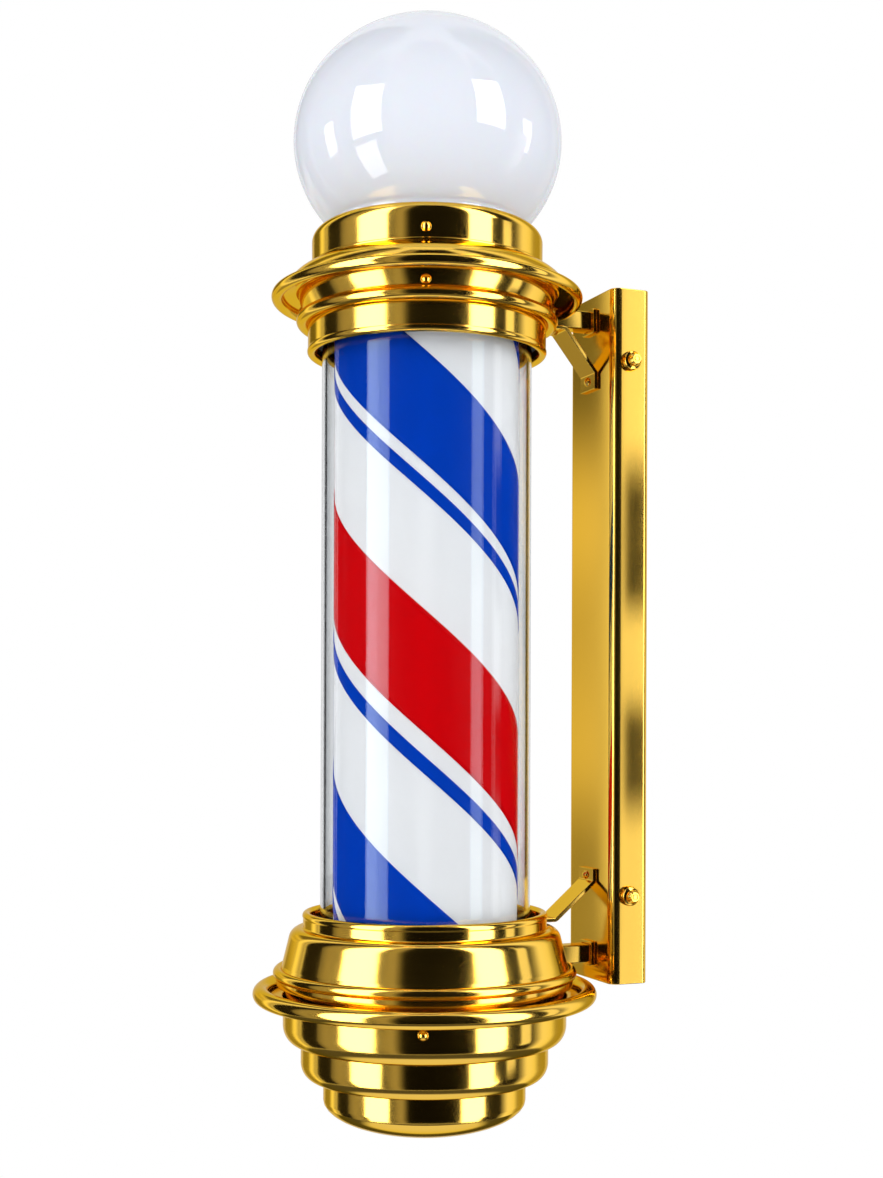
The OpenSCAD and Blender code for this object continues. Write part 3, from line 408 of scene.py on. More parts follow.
# %% Crown ring
CUT, FOLD = 0.4 * MM, 0.5 * MM
RIM_OUT, RIM_IN = 32.2, 74.4
BEAD_R = 3.8 * MM
BEAD_MID_R = BAND_R + 3.4 * MM
BEAD_Z = CROWN_Z + RIM_R + 14.8 * MM + BEAD_R
SHELF_R = 58.5 * MM
crown_top = high("crown_ring")
crown_shelf = high("tube_seal_top")
rim_mid_r = BAND_R - RIM_R + RIM_PROUD
spun_shell("gold_crown_ring", "crown_ring",
    (SPIGOT_R - SHEET, crown_top), (SPIGOT_R, crown_top),
    *arc(BEAD_MID_R, BEAD_Z, BEAD_R, 141, -153.5),
    *arc(rim_mid_r, CROWN_Z + RIM_R, RIM_R, RIM_OUT, RIM_IN - 360),
    (BAND_R - SHEET, crown_shelf, CUT), (SHELF_R, crown_shelf, CUT),
    (SHELF_R, crown_shelf + SHEET, CUT), (BAND_R - SHEET, crown_shelf + SHEET, CUT),
    (BAND_R - SHEET, BEAD_Z - SHEET), (SPIGOT_R - SHEET, BEAD_Z - SHEET / 2))

# %% [markdown]
# The globe holder is the showpiece of the crown. From the top: a broad rounded rim, a band, a fine bead at
# its foot, then a full shoulder that falls to the flange's rolled edge. Underneath, the neck is a shallow
# barrel that draws in to the spigot, so it mirrors the room below and not the flange above it.

# %% Globe holder
SHELF_HOLE_R = 52 * MM
FLANGE_ROLL_R = 3.6 * MM
STEP_R = 1.0 * MM
STEP_PROUD = 0.6 * MM
HOLDER_ROUND = 7.5 * MM
HOLDER_RISE = 2.3 * MM
SHOULDER_BULGE, BULGE_STEPS = 2.5 * MM, 12
SHOULDER_OUT = 15.6 * MM
SHOULDER_DROP = 12.3 * MM
NECK_BARREL_R = 38 * MM
NECK_FOOT_TURN, NECK_TOP_TURN = -28, -10
neck_foot = low("globe_holder")
flange_z = neck_foot + 10.3 * MM
flange_mid_r = NECK_R + 16.9 * MM
shoulder_top = flange_z + 16.9 * MM
holder_top = high("globe_holder") + HOLDER_RISE
holder_shelf = flange_z + 17.5 * MM
neck_mid_r = NECK_R - NECK_BARREL_R * math.cos(math.radians(NECK_FOOT_TURN))
neck_mid_z = neck_foot - NECK_BARREL_R * math.sin(math.radians(NECK_FOOT_TURN))
neck_top_r = neck_mid_r + NECK_BARREL_R * math.cos(math.radians(NECK_TOP_TURN))


def bulged(start, end, bulge):
    """An arc between two points that stands out from its chord by bulge, on the right of the way down."""
    start, end = Vector(start), Vector(end)
    chord = end - start
    radius = (chord.length ** 2 / 4 + bulge ** 2) / (2 * bulge)
    outward = Vector((-chord.y, chord.x)).normalized()
    mid = (start + end) / 2 - outward * (radius - bulge)
    half = math.degrees(math.asin(chord.length / (2 * radius)))
    base = math.degrees(math.atan2(outward.y, outward.x))
    return arc(*mid, radius, base + half, base - half, steps=BULGE_STEPS)


shoulder_start = (HOLDER_R + STEP_PROUD, shoulder_top)
shoulder_end = (HOLDER_R + STEP_PROUD + SHOULDER_OUT, shoulder_top - SHOULDER_DROP)
under_z = flange_z + FLANGE_ROLL_R - 1.6 * SHEET
spun_shell("gold_globe_holder", "globe_holder",
    *arc(HOLDER_R - HOLDER_ROUND, holder_top - HOLDER_ROUND, HOLDER_ROUND, 100, 0),
    *arc(HOLDER_R + STEP_PROUD, shoulder_top + STEP_R, STEP_R, 134, -84),
    *bulged(shoulder_start, shoulder_end, SHOULDER_BULGE),
    *arc(flange_mid_r, flange_z, FLANGE_ROLL_R, 98, -205),
    (flange_mid_r - FLANGE_ROLL_R, under_z, 2 * MM), (neck_top_r, under_z + 2.5 * MM, 2 * MM),
    *arc(neck_mid_r, neck_mid_z, NECK_BARREL_R, NECK_TOP_TURN, NECK_FOOT_TURN),
    (NECK_R - SHEET, neck_foot, FOLD), (NECK_R - SHEET, under_z, FOLD),
    (HOLDER_R - SHEET, shoulder_top - 0.4 * MM, FOLD),
    (HOLDER_R - SHEET, holder_shelf - SHEET, CUT), (SHELF_HOLE_R, holder_shelf - SHEET, CUT),
    (SHELF_HOLE_R, holder_shelf, CUT), (HOLDER_R - SHEET, holder_shelf, CUT),
    (HOLDER_R - SHEET, holder_top - HOLDER_ROUND))

# %% [markdown]
# The globe is a blown ball, a little wider than high, with a short neck that stands in the holder. Its glass
# has a real inner wall, and the neck runs into the ball in a soft curve.

# %% Globe
GLOBE_R = 83 * MM
GLOBE_B = 75.5 * MM
GLOBE_WALL = 3 * MM
GLOBE_NECK_R = 60 * MM
GLOBE_LIP = 1.8 * MM
GLOBE_STEPS = 48
globe_z = high("globe") - GLOBE_B
globe_foot = low("globe")
neck_turn = math.degrees(math.acos(GLOBE_NECK_R / GLOBE_R))
neck_turn_in = math.degrees(math.acos((GLOBE_NECK_R - GLOBE_WALL) / (GLOBE_R - GLOBE_WALL)))
neck_top = globe_z - GLOBE_B * math.sin(math.radians(neck_turn))
globe = spun_shell("opal_globe", "globe",
    *arc(0, globe_z, GLOBE_R, 90, -neck_turn + 2, GLOBE_B / GLOBE_R, GLOBE_STEPS),
    (GLOBE_NECK_R, neck_top, 3 * MM), (GLOBE_NECK_R, globe_foot + 2 * GLOBE_LIP, 1 * MM),
    (GLOBE_NECK_R + GLOBE_LIP, globe_foot + GLOBE_LIP, 0.6 * MM),
    (GLOBE_NECK_R + GLOBE_LIP, globe_foot, 0.6 * MM), (GLOBE_NECK_R - GLOBE_WALL, globe_foot, 0.6 * MM),
    *arc(0, globe_z, GLOBE_R - GLOBE_WALL, -neck_turn_in, 90, (GLOBE_B - GLOBE_WALL) / (GLOBE_R - GLOBE_WALL),
        GLOBE_STEPS),
    material=opal_glass, slot="opal_glass", closed=False)

# %% [markdown]
# The base begins with a ring that copies the crown's rim, then a narrow shoulder with a round edge, a cone
# that widens slightly, a bead under it, and a recess from which a skirt runs down inside the bowl.

# %% Base housing
LEDGE_Z = BASE_Z - 9.8 * MM
SHOULDER_W = 1.6 * MM
SHOULDER_R = 7.2 * MM
FOOT_BEAD_R = 3.4 * MM
CONE_H = 24.2 * MM
CONE_OUT = 4.2 * MM
RECESS_H = 4.1 * MM
RECESS_IN = 2.3 * MM
shoulder_mid_r = RING_R + SHOULDER_W
foot_bead_mid_r = shoulder_mid_r + SHOULDER_R + CONE_OUT + 2 * MM
foot_bead_z = LEDGE_Z - CONE_H - FOOT_BEAD_R
recess_r = foot_bead_mid_r + FOOT_BEAD_R - RECESS_IN
recess_foot = foot_bead_z - FOOT_BEAD_R - RECESS_H
BOWL_R = 87.8 * MM
skirt_r = BOWL_R - SHEET - SLIP
skirt_foot = low("base_housing")
base_shelf = low("tube_seal_bottom")
base_rim_mid_r = RING_R - RIM_R + RIM_PROUD
spun_shell("gold_base_housing", "base_housing",
    *arc(base_rim_mid_r, BASE_Z - RIM_R, RIM_R, 360 - RIM_IN, -RIM_OUT),
    (RING_R, LEDGE_Z, 1.2 * MM),
    *arc(shoulder_mid_r, LEDGE_Z - SHOULDER_R, SHOULDER_R, 90, 12),
    *arc(foot_bead_mid_r, foot_bead_z, FOOT_BEAD_R, 120, -71),
    (recess_r, recess_foot, FOLD), (skirt_r, recess_foot, FOLD),
    (skirt_r, skirt_foot, FOLD), (skirt_r - SHEET, skirt_foot, FOLD),
    (skirt_r - SHEET, recess_foot + SHEET, FOLD), (recess_r - SHEET, recess_foot + SHEET, FOLD),
    (recess_r - SHEET, foot_bead_z, 1 * MM),
    (shoulder_mid_r + SHOULDER_R - SHEET, LEDGE_Z - SHOULDER_R, 2 * MM),
    (shoulder_mid_r + SHEET, LEDGE_Z - 1.4 * SHEET, 1.5 * MM), (RING_R - SHEET, LEDGE_Z - SHEET, FOLD),
    (RING_R - SHEET, base_shelf - SHEET, CUT), (SHELF_R, base_shelf - SHEET, CUT),
    (SHELF_R, base_shelf, CUT), (RING_R - SHEET, base_shelf, CUT))

# %% [markdown]
# The bowl hangs under a flange with a fat rolled edge. Three steps, each rounded underneath and each less
# round than the one above, lead down to a shallow dome.

# %% Base bowl
FLANGE_BEAD_R = 5.2 * MM
DOME_H = 20 * MM
STEP_SQUASH = 1.35
bowl_steps = ((BOWL_R, 35 * MM, 8 * MM), (76.7 * MM, 22 * MM, 7 * MM))
dome_r, dome_step = 62.8 * MM, 14 * MM
base_flange_r = RING_R + 30.8 * MM - FLANGE_BEAD_R
base_flange_z = high("base_bowl") - FLANGE_BEAD_R
bowl_points = arc(base_flange_r, base_flange_z, FLANGE_BEAD_R, 171.7, -171.7)
inner_points = []
step_z = recess_foot
bowl_points.append((BOWL_R, base_flange_z - SHEET / 2, 1.2 * MM))
inner_points.append((BOWL_R - SHEET, base_flange_z + SHEET / 2, 1 * MM))
next_radii = (bowl_steps[1][0], dome_r)
for (radius, drop, edge), next_r in zip(bowl_steps, next_radii):
    step_z -= drop
    bowl_points += arc(radius - edge, step_z + edge * STEP_SQUASH, edge, 0, -90, squash=STEP_SQUASH)
    bowl_points.append((next_r, step_z, 1 * MM))
    inner_points += [(radius - SHEET, step_z + SHEET, edge - SHEET), (next_r - SHEET, step_z + SHEET, FOLD)]
step_z -= dome_step
bowl_points += arc(0, step_z, dome_r, 0, -90, squash=DOME_H / dome_r)
inner_points += arc(0, step_z, dome_r - SHEET, 0, -90, squash=(DOME_H - SHEET) / (dome_r - SHEET))
spun_shell("gold_base_bowl", "base_bowl", *bowl_points, *reversed(inner_points), closed=False)

# %% [markdown]
# A mirror shows the studio and not its own colour, so the studio is designed before the rest of the pole. It
# is made of cards, as a photographer would hang them. A card could be a lamp, but a glowing mesh can change
# its glow from edge to edge or with height. Cards glow only for mirror rays that have met nothing matt
# before, so they shape the gold and leave the whites alone.

# %% Paint for the cards
SHADE_SPAN = 1.0


def follow(tree, factor, stops, interpolation):
    """A share that follows a factor from 0 to 1. stops are (place, share) pairs in order."""
    ramp = put(tree, "ShaderNodeValToRGB", {"Fac": factor})
    ramp.color_ramp.interpolation = interpolation
    marks = ramp.color_ramp.elements
    for number, (spot, share) in enumerate(stops):
        mark = marks[number] if number < 2 else marks.new(spot)
        mark.position = spot
        mark.color = (share, share, share, 1)
    return ramp, "Color"


def glow_along(tree, attribute, start, end, stops):
    """A share of the glow that changes along a card. stops are (place, share) pairs."""
    place = put(tree, "ShaderNodeAttribute", attribute_name=attribute)
    span = put(tree, "ShaderNodeMapRange", {"Value": (place, "Fac"), "From Min": start, "From Max": end})
    stops = [((spot - start) / (end - start), share) for spot, share in sorted(stops)]
    return follow(tree, (span, "Result"), stops, "EASE")


def card_material(name, colour, strength, across=None, height=None, clear=False, pattern=None, reach=None):
    """An emitter for mirror rays only. A clear one adds its glow to what lies behind it.

    across, height and pattern (a function) change the glow over the card. reach is the longest ray it has."""
    material = bpy.data.materials.new(name)
    material.use_nodes = True
    tree = material.node_tree
    tree.nodes.remove(tree.nodes["Principled BSDF"])
    shares = [glow_along(tree, *rows) for rows in (("across", 0, 1, across),
        ("height", -SHADE_SPAN, SHADE_SPAN, height)) if rows[-1]]
    for share in shares + ([pattern(tree)] if pattern else []):
        strength = calc(tree, "MULTIPLY", share, strength)
    glow = put(tree, "ShaderNodeEmission", {"Color": (*colour, 1), "Strength": strength})
    unseen = put(tree, "ShaderNodeBsdfTransparent")
    if clear:
        glow = put(tree, "ShaderNodeAddShader", {0: (glow, 0), 1: (unseen, 0)})
    rays = put(tree, "ShaderNodeLightPath")
    shown = calc(tree, "LESS_THAN", (rays, "Diffuse Depth"), 0.5)
    if reach:
        shown = calc(tree, "MULTIPLY", shown, calc(tree, "LESS_THAN", (rays, "Ray Length"), reach))
    choose(tree, shown, unseen, glow)
    return material

# %% [markdown]
# Each card is a panel that stores two numbers at its corners, how far across and how high they are, for the
# paint to read. It is hidden from the eye. Most cards are curved panels round the pole, and are given by the
# directions they fill, because that is how a mirror sees them, whatever their distance.

# %% Card maker
CARD_RING_R, INNER_RING_R = 1.7, 1.6
CARD_STEP = math.radians(2)


def mirror_only(name, rows, material):
    """A panel from rows of (place, across, height) corners, hidden from the eye and from matt surfaces."""
    bm = bmesh.new()
    across = bm.verts.layers.float.new("across")
    level = bm.verts.layers.float.new("height")
    columns = []
    for row in rows:
        columns.append([])
        for place, share, height in row:
            vert = bm.verts.new(place)
            vert[across], vert[level] = share, height
            columns[-1].append(vert)
    for a, b in zip(columns, columns[1:]):
        bm.faces.new((a[0], a[1], b[1], b[0]))
    panel = mesh_object(name, bm, material)
    panel.visible_camera = panel.visible_diffuse = panel.visible_shadow = False
    return panel


def card(name, turns, tilts, *paint, mid_z=0.0, trim=0, ring_r=INNER_RING_R, **more_paint):
    """A curved panel that fills directions seen from the pole: turns right of the camera and tilts up.

    trim is how many degrees of tilt the panel's side edges lose at both ends, which rounds its corners."""
    start, end = (math.radians(turn) for turn in turns)
    steps = max(8, math.ceil((end - start) / CARD_STEP))
    rows = []
    for i in range(steps + 1):
        heading = CAMERA_TURN + start + (end - start) * i / steps
        lost = trim * abs(2 * i / steps - 1) ** 3
        ends = (tilts[0] + lost, tilts[1] - lost)
        heights = [mid_z + ring_r * math.tan(math.radians(tilt)) for tilt in ends]
        x, y = POLE.x + ring_r * math.cos(heading), POLE.y + ring_r * math.sin(heading)
        rows.append([((x, y, height), i / steps, height) for height in heights])
    return mirror_only(name, rows, card_material(name, *paint, **more_paint))

# %% [markdown]
# Seen from the pole the studio is a white room with two tall softboxes, a black gap between them where the
# photographer stood, and brown, black and pale screens beside them, one with a bright slot. Their order and
# widths were read from the bands in the gold, which is the way to rebuild a light set from a photograph.

# %% Softboxes and screens
WHITE = (1.0, 1.0, 1.0)
WARM = (1.0, 0.95, 0.84)
COOL = (0.8, 1.0, 1.1)
BLACK = (0.5, 0.45, 0.4)
SOFTBOX_GLOW = 6.0
SOFTBOX_TILTS, SCREEN_TILTS = (-50, 64), (-50, 79)
SOFTBOX_TRIM = 34
SLOT_TURNS, SLOT_TILTS, SLOT_GLOW = (89, 94), (2, 30), 2.0
softboxes = [card(f"softbox_{side}", turns, SOFTBOX_TILTS, WHITE, SOFTBOX_GLOW, trim=SOFTBOX_TRIM,
    ring_r=CARD_RING_R) for side, turns in (("left", (-69, -38)), ("right", (41, 71)))]
# name, turns, colour, glow, shares of the glow across the screen and over its height
SCREENS = (
    ("camera_gap", (-16, 41), BLACK, 0.008),
    ("brown_screen", (-38, -16), WARM, 0.40, ((0, 0.25), (0.6, 1), (1, 0.05))),
    ("left_brown", (-92, -69), WARM, 0.36, ((0, 0.6), (0.4, 1), (1, 0.7))),
    ("left_black", (-113, -92), BLACK, 0.03),
    ("left_pale", (-131, -116), WHITE, 1.3, ((0, 0.5), (0.4, 1), (1, 0.35))),
    ("left_shade", (-150, -131), WARM, 0.88, None,
        ((0.52, 0.22), (0.28, 1), (0.1, 0.75), (-0.1, 0.92), (-0.3, 0.42))),
    ("right_black", (71, 95), BLACK, 0.03),
    ("right_pale", (95, 128), WHITE, 1.15, ((0, 0.2), (0.4, 1), (0.7, 0.95), (1, 0.5))),
    ("right_shade", (128, 148), WARM, 0.48),
)
screens = [card(name, turns, SCREEN_TILTS, *paint, ring_r=CARD_RING_R) for name, turns, *paint in SCREENS]
bright_slot = card("right_window", SLOT_TURNS, SLOT_TILTS, WHITE, SLOT_GLOW, clear=True, ring_r=CARD_RING_R)
print(len(softboxes), "softboxes,", len(SCREENS), "screens")

# %% [markdown]
# White glass shows its windows as small bright patches, and the softboxes would flood it. Light linking names
# the pieces that a lamp or card reaches: the softboxes leave the globe out, and its windows reach it alone.

# %% Windows in the globe
WINDOW_GLOW = 8.5
# name, turns, tilts, share of the windows' glow
GLOBE_WINDOWS = (
    ("left_high", (-64, -37), (-10, 32), 1.0),
    ("left_low", (-65, -44), (-44, -16), 0.6),
    ("left_small", (-93, -82), (-12, 10), 0.6),
    ("right_high", (40, 66), (-1, 37), 1.0),
    ("right_small", (84, 95), (-8, 13), 0.6),
)


def link_light(source, state, *pieces):
    """Let a lamp or card reach only these pieces (INCLUDE) or all but these (EXCLUDE)."""
    reached = bpy.data.collections.new(f"{source.name}_pieces")
    for piece in pieces:
        reached.objects.link(piece)
    for row in reached.collection_objects:
        row.light_linking.link_state = state
    source.light_linking.receiver_collection = reached


for name, turns, tilts, share in GLOBE_WINDOWS:
    window = card(f"globe_window_{name}", turns, tilts, WHITE, WINDOW_GLOW * share, clear=True, mid_z=globe_z)
    link_light(window, "INCLUDE", globe)
print(len(GLOBE_WINDOWS), "windows for the globe")

# %% [markdown]
# The bracket's flat side is a plane mirror, so it shows one small patch of the room, enlarged to its full
# height: pale, with two soft dark marks. A narrow board near the bracket gives it that. The board is there
# only for short rays, so nothing but the bracket and its arms can see it.

# %% Bracket board
BOARD_AWAY = 0.14
BOARD_RAY = 0.215
BOARD_HALF_H = 0.3
BOARD_FROM, BOARD_TO = -0.075, 0.03
BOARD_GLOW = 1.3
BOARD_MARKS = ((0.155, 1), (0.105, 0.03), (0.045, 0.03), (0.008, 0.85), (-0.025, 0.8), (-0.06, 0.03),
    (-0.095, 0.06), (-0.14, 0.85))
MARKS_FADE = ((-0.020, 0), (-0.004, 1))
BOARD_EDGE = ((-0.024, 0.01), (-0.016, 1))
side_mid = Vector((high("bracket_channel", X), low("bracket_channel", Y) / 2, 0))
eye = camera.location - side_mid
mirrored = Vector((eye.x, -eye.y, 0)).normalized()
along = Vector((-mirrored.y, mirrored.x, 0))


def board_pattern(tree):
    """The board's marks, which fade towards one end, and the dark edge beside that."""
    marks = glow_along(tree, "height", -BOARD_HALF_H, BOARD_HALF_H, BOARD_MARKS)
    fading = glow_along(tree, "across", BOARD_FROM, BOARD_TO, MARKS_FADE)
    edge = glow_along(tree, "across", BOARD_FROM, BOARD_TO, BOARD_EDGE)
    marked = put(tree, "ShaderNodeMapRange", {"Value": fading, "To Min": 1.0, "To Max": marks})
    return calc(tree, "MULTIPLY", (marked, "Result"), edge)


def side_panel(name, away, start, end, *paint, **more_paint):
    """An upright panel where the bracket's side mirrors the eye to, away metres off."""
    rows = [[(side_mid + mirrored * away + along * shift + Vector((0, 0, z)), shift, z)
        for z in (-BOARD_HALF_H, BOARD_HALF_H)] for shift in (end, start)]
    return mirror_only(name, rows, card_material(name, *paint, **more_paint))


side_panel("bracket_board", BOARD_AWAY, BOARD_FROM, BOARD_TO, WHITE, BOARD_GLOW, pattern=board_pattern,
    reach=BOARD_RAY)
print("board", BOARD_AWAY, "m from the bracket")

# %% [markdown]
# Two wide soft lamps stand where the softboxes are and light the whites, and the world fills the rest. The
# world is plain white for the eye and for glass. For mirrors it is a grey room with a white ceiling, and it
# is lower again for anything that has met a matt surface.

# %% Lamps and world
LAMP_TURNS = (-55, 55)
LAMP_AWAY = 1.9
LAMP_RISE = 0.12
LAMP_W, LAMP_H = 0.9, 1.8
LAMP_POWER = 17
WORLD_FILL = 0.62
WALL_MIRROR, CEILING_MIRROR = 0.72, 1.05
WALL_UP, CEILING_UP = 0.35, 0.8

for number, turn in enumerate(LAMP_TURNS):
    heading = CAMERA_TURN + math.radians(turn)
    lamp_data = bpy.data.lights.new(f"soft_lamp_{number + 1}", "AREA")
    lamp_data.shape = "RECTANGLE"
    lamp_data.size, lamp_data.size_y = LAMP_W, LAMP_H
    lamp_data.energy = LAMP_POWER
    lamp = bpy.data.objects.new(lamp_data.name, lamp_data)
    lamp.location = POLE + Vector((math.cos(heading), math.sin(heading), LAMP_RISE)) * LAMP_AWAY
    lamp.rotation_euler = (POLE - lamp.location).to_track_quat("-Z", "Y").to_euler()
    lamp.visible_glossy = lamp.visible_camera = False
    bpy.context.scene.collection.objects.link(lamp)

world = bpy.data.worlds.new("white_studio")
bpy.context.scene.world = world
world.use_nodes = True
tree = world.node_tree
rays = put(tree, "ShaderNodeLightPath")
direction = put(tree, "ShaderNodeTexCoord")
parts = put(tree, "ShaderNodeSeparateXYZ", {0: (direction, "Generated")})
mirror_level = put(tree, "ShaderNodeMapRange", {"Value": (parts, "Z"), "From Min": WALL_UP,
    "From Max": CEILING_UP, "To Min": WALL_MIRROR, "To Max": CEILING_MIRROR})
after_matt = calc(tree, "GREATER_THAN", (rays, "Diffuse Depth"), 0.5)
dimmed = put(tree, "ShaderNodeMapRange", {"Value": after_matt, "To Min": (mirror_level, "Result"),
    "To Max": WORLD_FILL})
seen = calc(tree, "MAXIMUM", (rays, "Is Camera Ray"), (rays, "Is Transmission Ray"))
fill(tree.nodes["Background"], {"Color": (1, 1, 1, 1),
    "Strength": calc(tree, "MAXIMUM", (dimmed, "Result"), seen)})
print("world", WORLD_FILL, "for matt surfaces,", WALL_MIRROR, "to", CEILING_MIRROR, "for mirrors")

# %% [markdown]
# The pole hangs on a wall, so the floor is far below it. It is as white to the eye as the room, which leaves
# no line at the horizon, and it is an ordinary pale floor for the light that falls on it. Mirrors see it as a
# pale disc in a dark ring, which draws the dark lines under every bead and step.

# %% Floor
FLOOR_Z = -1.3
FLOOR_HALF = 12
FLOOR_REACH = 2.0
FLOOR_MIRROR = ((0.62, 0.9), (0.82, 0.10), (1.5, 0.10), (1.75, 0.78))

bm = bmesh.new()
bmesh.ops.create_grid(bm, x_segments=8, y_segments=8, size=FLOOR_HALF,
    matrix=Matrix.Translation((0, 0, FLOOR_Z)))
floor_paint = buffed_material("pale_floor", (0.86, 0.86, 0.85), shade=0.98, roughness=0.7, haze=0.05,
    haze_scale=2)
tree = floor_paint.node_tree
rays = put(tree, "ShaderNodeLightPath")
seen = calc(tree, "MAXIMUM", (rays, "Is Camera Ray"), (rays, "Is Glossy Ray"))
seen = calc(tree, "MAXIMUM", seen, (rays, "Is Transmission Ray"))
spot = put(tree, "ShaderNodeTexCoord")
away = put(tree, "ShaderNodeVectorMath", {0: (spot, "Object"), 1: (POLE.x, POLE.y, FLOOR_Z)},
    operation="DISTANCE")
ring = follow(tree, calc(tree, "DIVIDE", (away, "Value"), FLOOR_REACH),
    [(reach / FLOOR_REACH, share) for reach, share in FLOOR_MIRROR], "LINEAR")
floor_level = put(tree, "ShaderNodeMapRange", {"Value": (rays, "Is Glossy Ray"), "To Min": 1.0,
    "To Max": ring})
choose(tree, seen, tree.nodes["Principled BSDF"],
    put(tree, "ShaderNodeEmission", {"Strength": (floor_level, "Result")}))
mesh_object("pale_floor", bm, floor_paint)
bpy.context.scene.view_settings.view_transform = "Standard"

# %% [markdown]
# The clear tube hangs between the two shelves, and the striped drum turns inside it. Both are plain turned
# walls, with their cut edges slightly broken so that they catch a line of light. The tube gets two soft
# strips of its own in place of everything else, which would wash out the colours behind it.

# %% Clear tube and drum
DRUM_R = high("drum_tube", X) - POLE.x
DRUM_WALL = 2 * MM
# side, turns, glow, its shares across the strip
TUBE_STRIPS = (
    ("left", (-66, -40), 3.5, ((0, 1), (0.45, 0.95), (0.55, 0.75), (1, 0.6))),
    ("right", (50, 75), 2.4, ((0, 0.7), (0.4, 0.8), (1, 1))),
)


def plain_tube(name, node, radius, wall, **finish):
    """A straight tube with broken edges, as high as its CAD node."""
    foot, top = low(node), high(node)
    return spun_shell(name, node, (radius - wall, top, CUT), (radius, top, CUT), (radius, foot, CUT),
        (radius - wall, foot, CUT), **finish)


tube = plain_tube("clear_display_tube", "clear_tube", TUBE_R, TUBE_WALL, material=clear_tube,
    slot="clear_tube")
for side, turns, strength, across in TUBE_STRIPS:
    strip = card(f"tube_strip_{side}", turns, SOFTBOX_TILTS, COOL, strength, across, clear=True)
    link_light(strip, "INCLUDE", tube)
plain_tube("white_drum_tube", "drum_tube", DRUM_R, DRUM_WALL, material=white_drum, slot="white_drum",
    body="drum")

# %% [markdown]
# A stripe is a strip of film that climbs round the drum at a steady rate, so it follows a rule: its height
# gives its angle. Geometry Nodes make it from a flat grid. Each point's column says how far round it sits in
# the stripe and its row how high, and Set Position wraps the grid onto the drum. The same tree makes the
# wide red stripe, the wide blue one and the two thin ones, with other inputs.

# %% Stripe tree
SHAPE, PAINT = ("Geometry", "NodeSocketGeometry"), ("Material", "NodeSocketMaterial")
tree = stripe_tree = new_group("helical_stripe", "GeometryNodeTree",
    [("Radius", F), ("Low", F), ("High", F), ("Lead", F), ("Angle", F), ("Width", F), ("Columns", WHOLE),
     ("Rows", WHOLE), PAINT], [SHAPE])
source = put(tree, "NodeGroupInput")
grid = put(tree, "GeometryNodeMeshGrid", {"Size X": 1.0, "Size Y": 1.0, "Vertices X": (source, "Columns"),
    "Vertices Y": (source, "Rows")})
spot = put(tree, "GeometryNodeInputPosition")
parts = put(tree, "ShaderNodeSeparateXYZ", {0: (spot, 0)})
rise = calc(tree, "SUBTRACT", (source, "High"), (source, "Low"))
climb = calc(tree, "MULTIPLY", calc(tree, "ADD", (parts, "Y"), 0.5), rise)
height = calc(tree, "ADD", climb, (source, "Low"))
wound = calc(tree, "MULTIPLY", calc(tree, "DIVIDE", height, (source, "Lead")), -360.0)
aside = calc(tree, "MULTIPLY", (parts, "X"), (source, "Width"))
turn = calc(tree, "ADD", calc(tree, "ADD", wound, aside), (source, "Angle"))
heading = calc(tree, "RADIANS", turn)
x, y = (calc(tree, "MULTIPLY", calc(tree, way, heading), (source, "Radius")) for way in ("COSINE", "SINE"))
wrapped = put(tree, "ShaderNodeCombineXYZ", {"X": x, "Y": y, "Z": height})
wrap = put(tree, "GeometryNodeSetPosition", {"Geometry": (grid, "Mesh"), "Position": (wrapped, 0)})
to_axis = put(tree, "GeometryNodeTransform", {"Geometry": (wrap, 0), "Translation": (POLE.x, POLE.y, 0)})
realized = put(tree, "GeometryNodeRealizeInstances", {0: (to_axis, 0)})
painted = put(tree, "GeometryNodeSetMaterial", {"Geometry": (realized, 0), "Material": (source, "Material")})
put(tree, "NodeGroupOutput", {0: (painted, 0)})
print("stripe tree:", len(tree.nodes), "nodes")

# %% [markdown]
# A tree is used through a modifier on an empty mesh. Its inputs are set by the sockets' identifiers before
# anything is evaluated, and the result then becomes a plain mesh.

# %% Stripes
FILM = 0.35 * MM
FILM_LIFT = 0.03 * MM
STRIPE_LEAD = 319 * MM
STRIPE_ROWS = 160
STRIPE_INSET = 1 * MM
# name, material, slot, angle and width in degrees, columns, node
STRIPES = (
    ("red_stripe_film", red_film, "red_film", -50, 82, 21, "red_stripe"),
    ("blue_stripe_film", blue_film, "blue_film", 125, 75, 21, "blue_stripe"),
    ("thin_stripe_1", blue_film, "blue_film", -112, 12, 5, "thin_stripes"),
    ("thin_stripe_2", blue_film, "blue_film", 72.5, 10, 5),
)


def from_tree(name, tree, material, **values):
    """An object whose mesh comes from a geometry tree, with the modifier still on it."""
    piece = bpy.data.objects.new(name, bpy.data.meshes.new(name))
    bpy.context.scene.collection.objects.link(piece)
    modifier = piece.modifiers.new(name, "NODES")
    modifier.node_group = tree
    sockets = {s.name: s.identifier for s in tree.interface.items_tree if s.item_type == "SOCKET"}
    for key, value in {**values, "Material": material}.items():
        modifier[sockets[key.replace("_", " ").title()]] = value
    return piece


for name, film, slot, angle, width, columns, *nodes in STRIPES:
    piece = from_tree(name, stripe_tree, film, radius=DRUM_R + FILM_LIFT, low=low("drum_tube") + STRIPE_INSET,
        high=high("drum_tube") - STRIPE_INSET, lead=STRIPE_LEAD, angle=float(angle), width=float(width),
        columns=columns, rows=STRIPE_ROWS)
    thickness = piece.modifiers.new("film", "SOLIDIFY")
    thickness.thickness = FILM
    thickness.offset = 1
    apply_modifiers(piece).data.shade_smooth()
    finish_piece(piece, *nodes, body="drum", slot=slot)

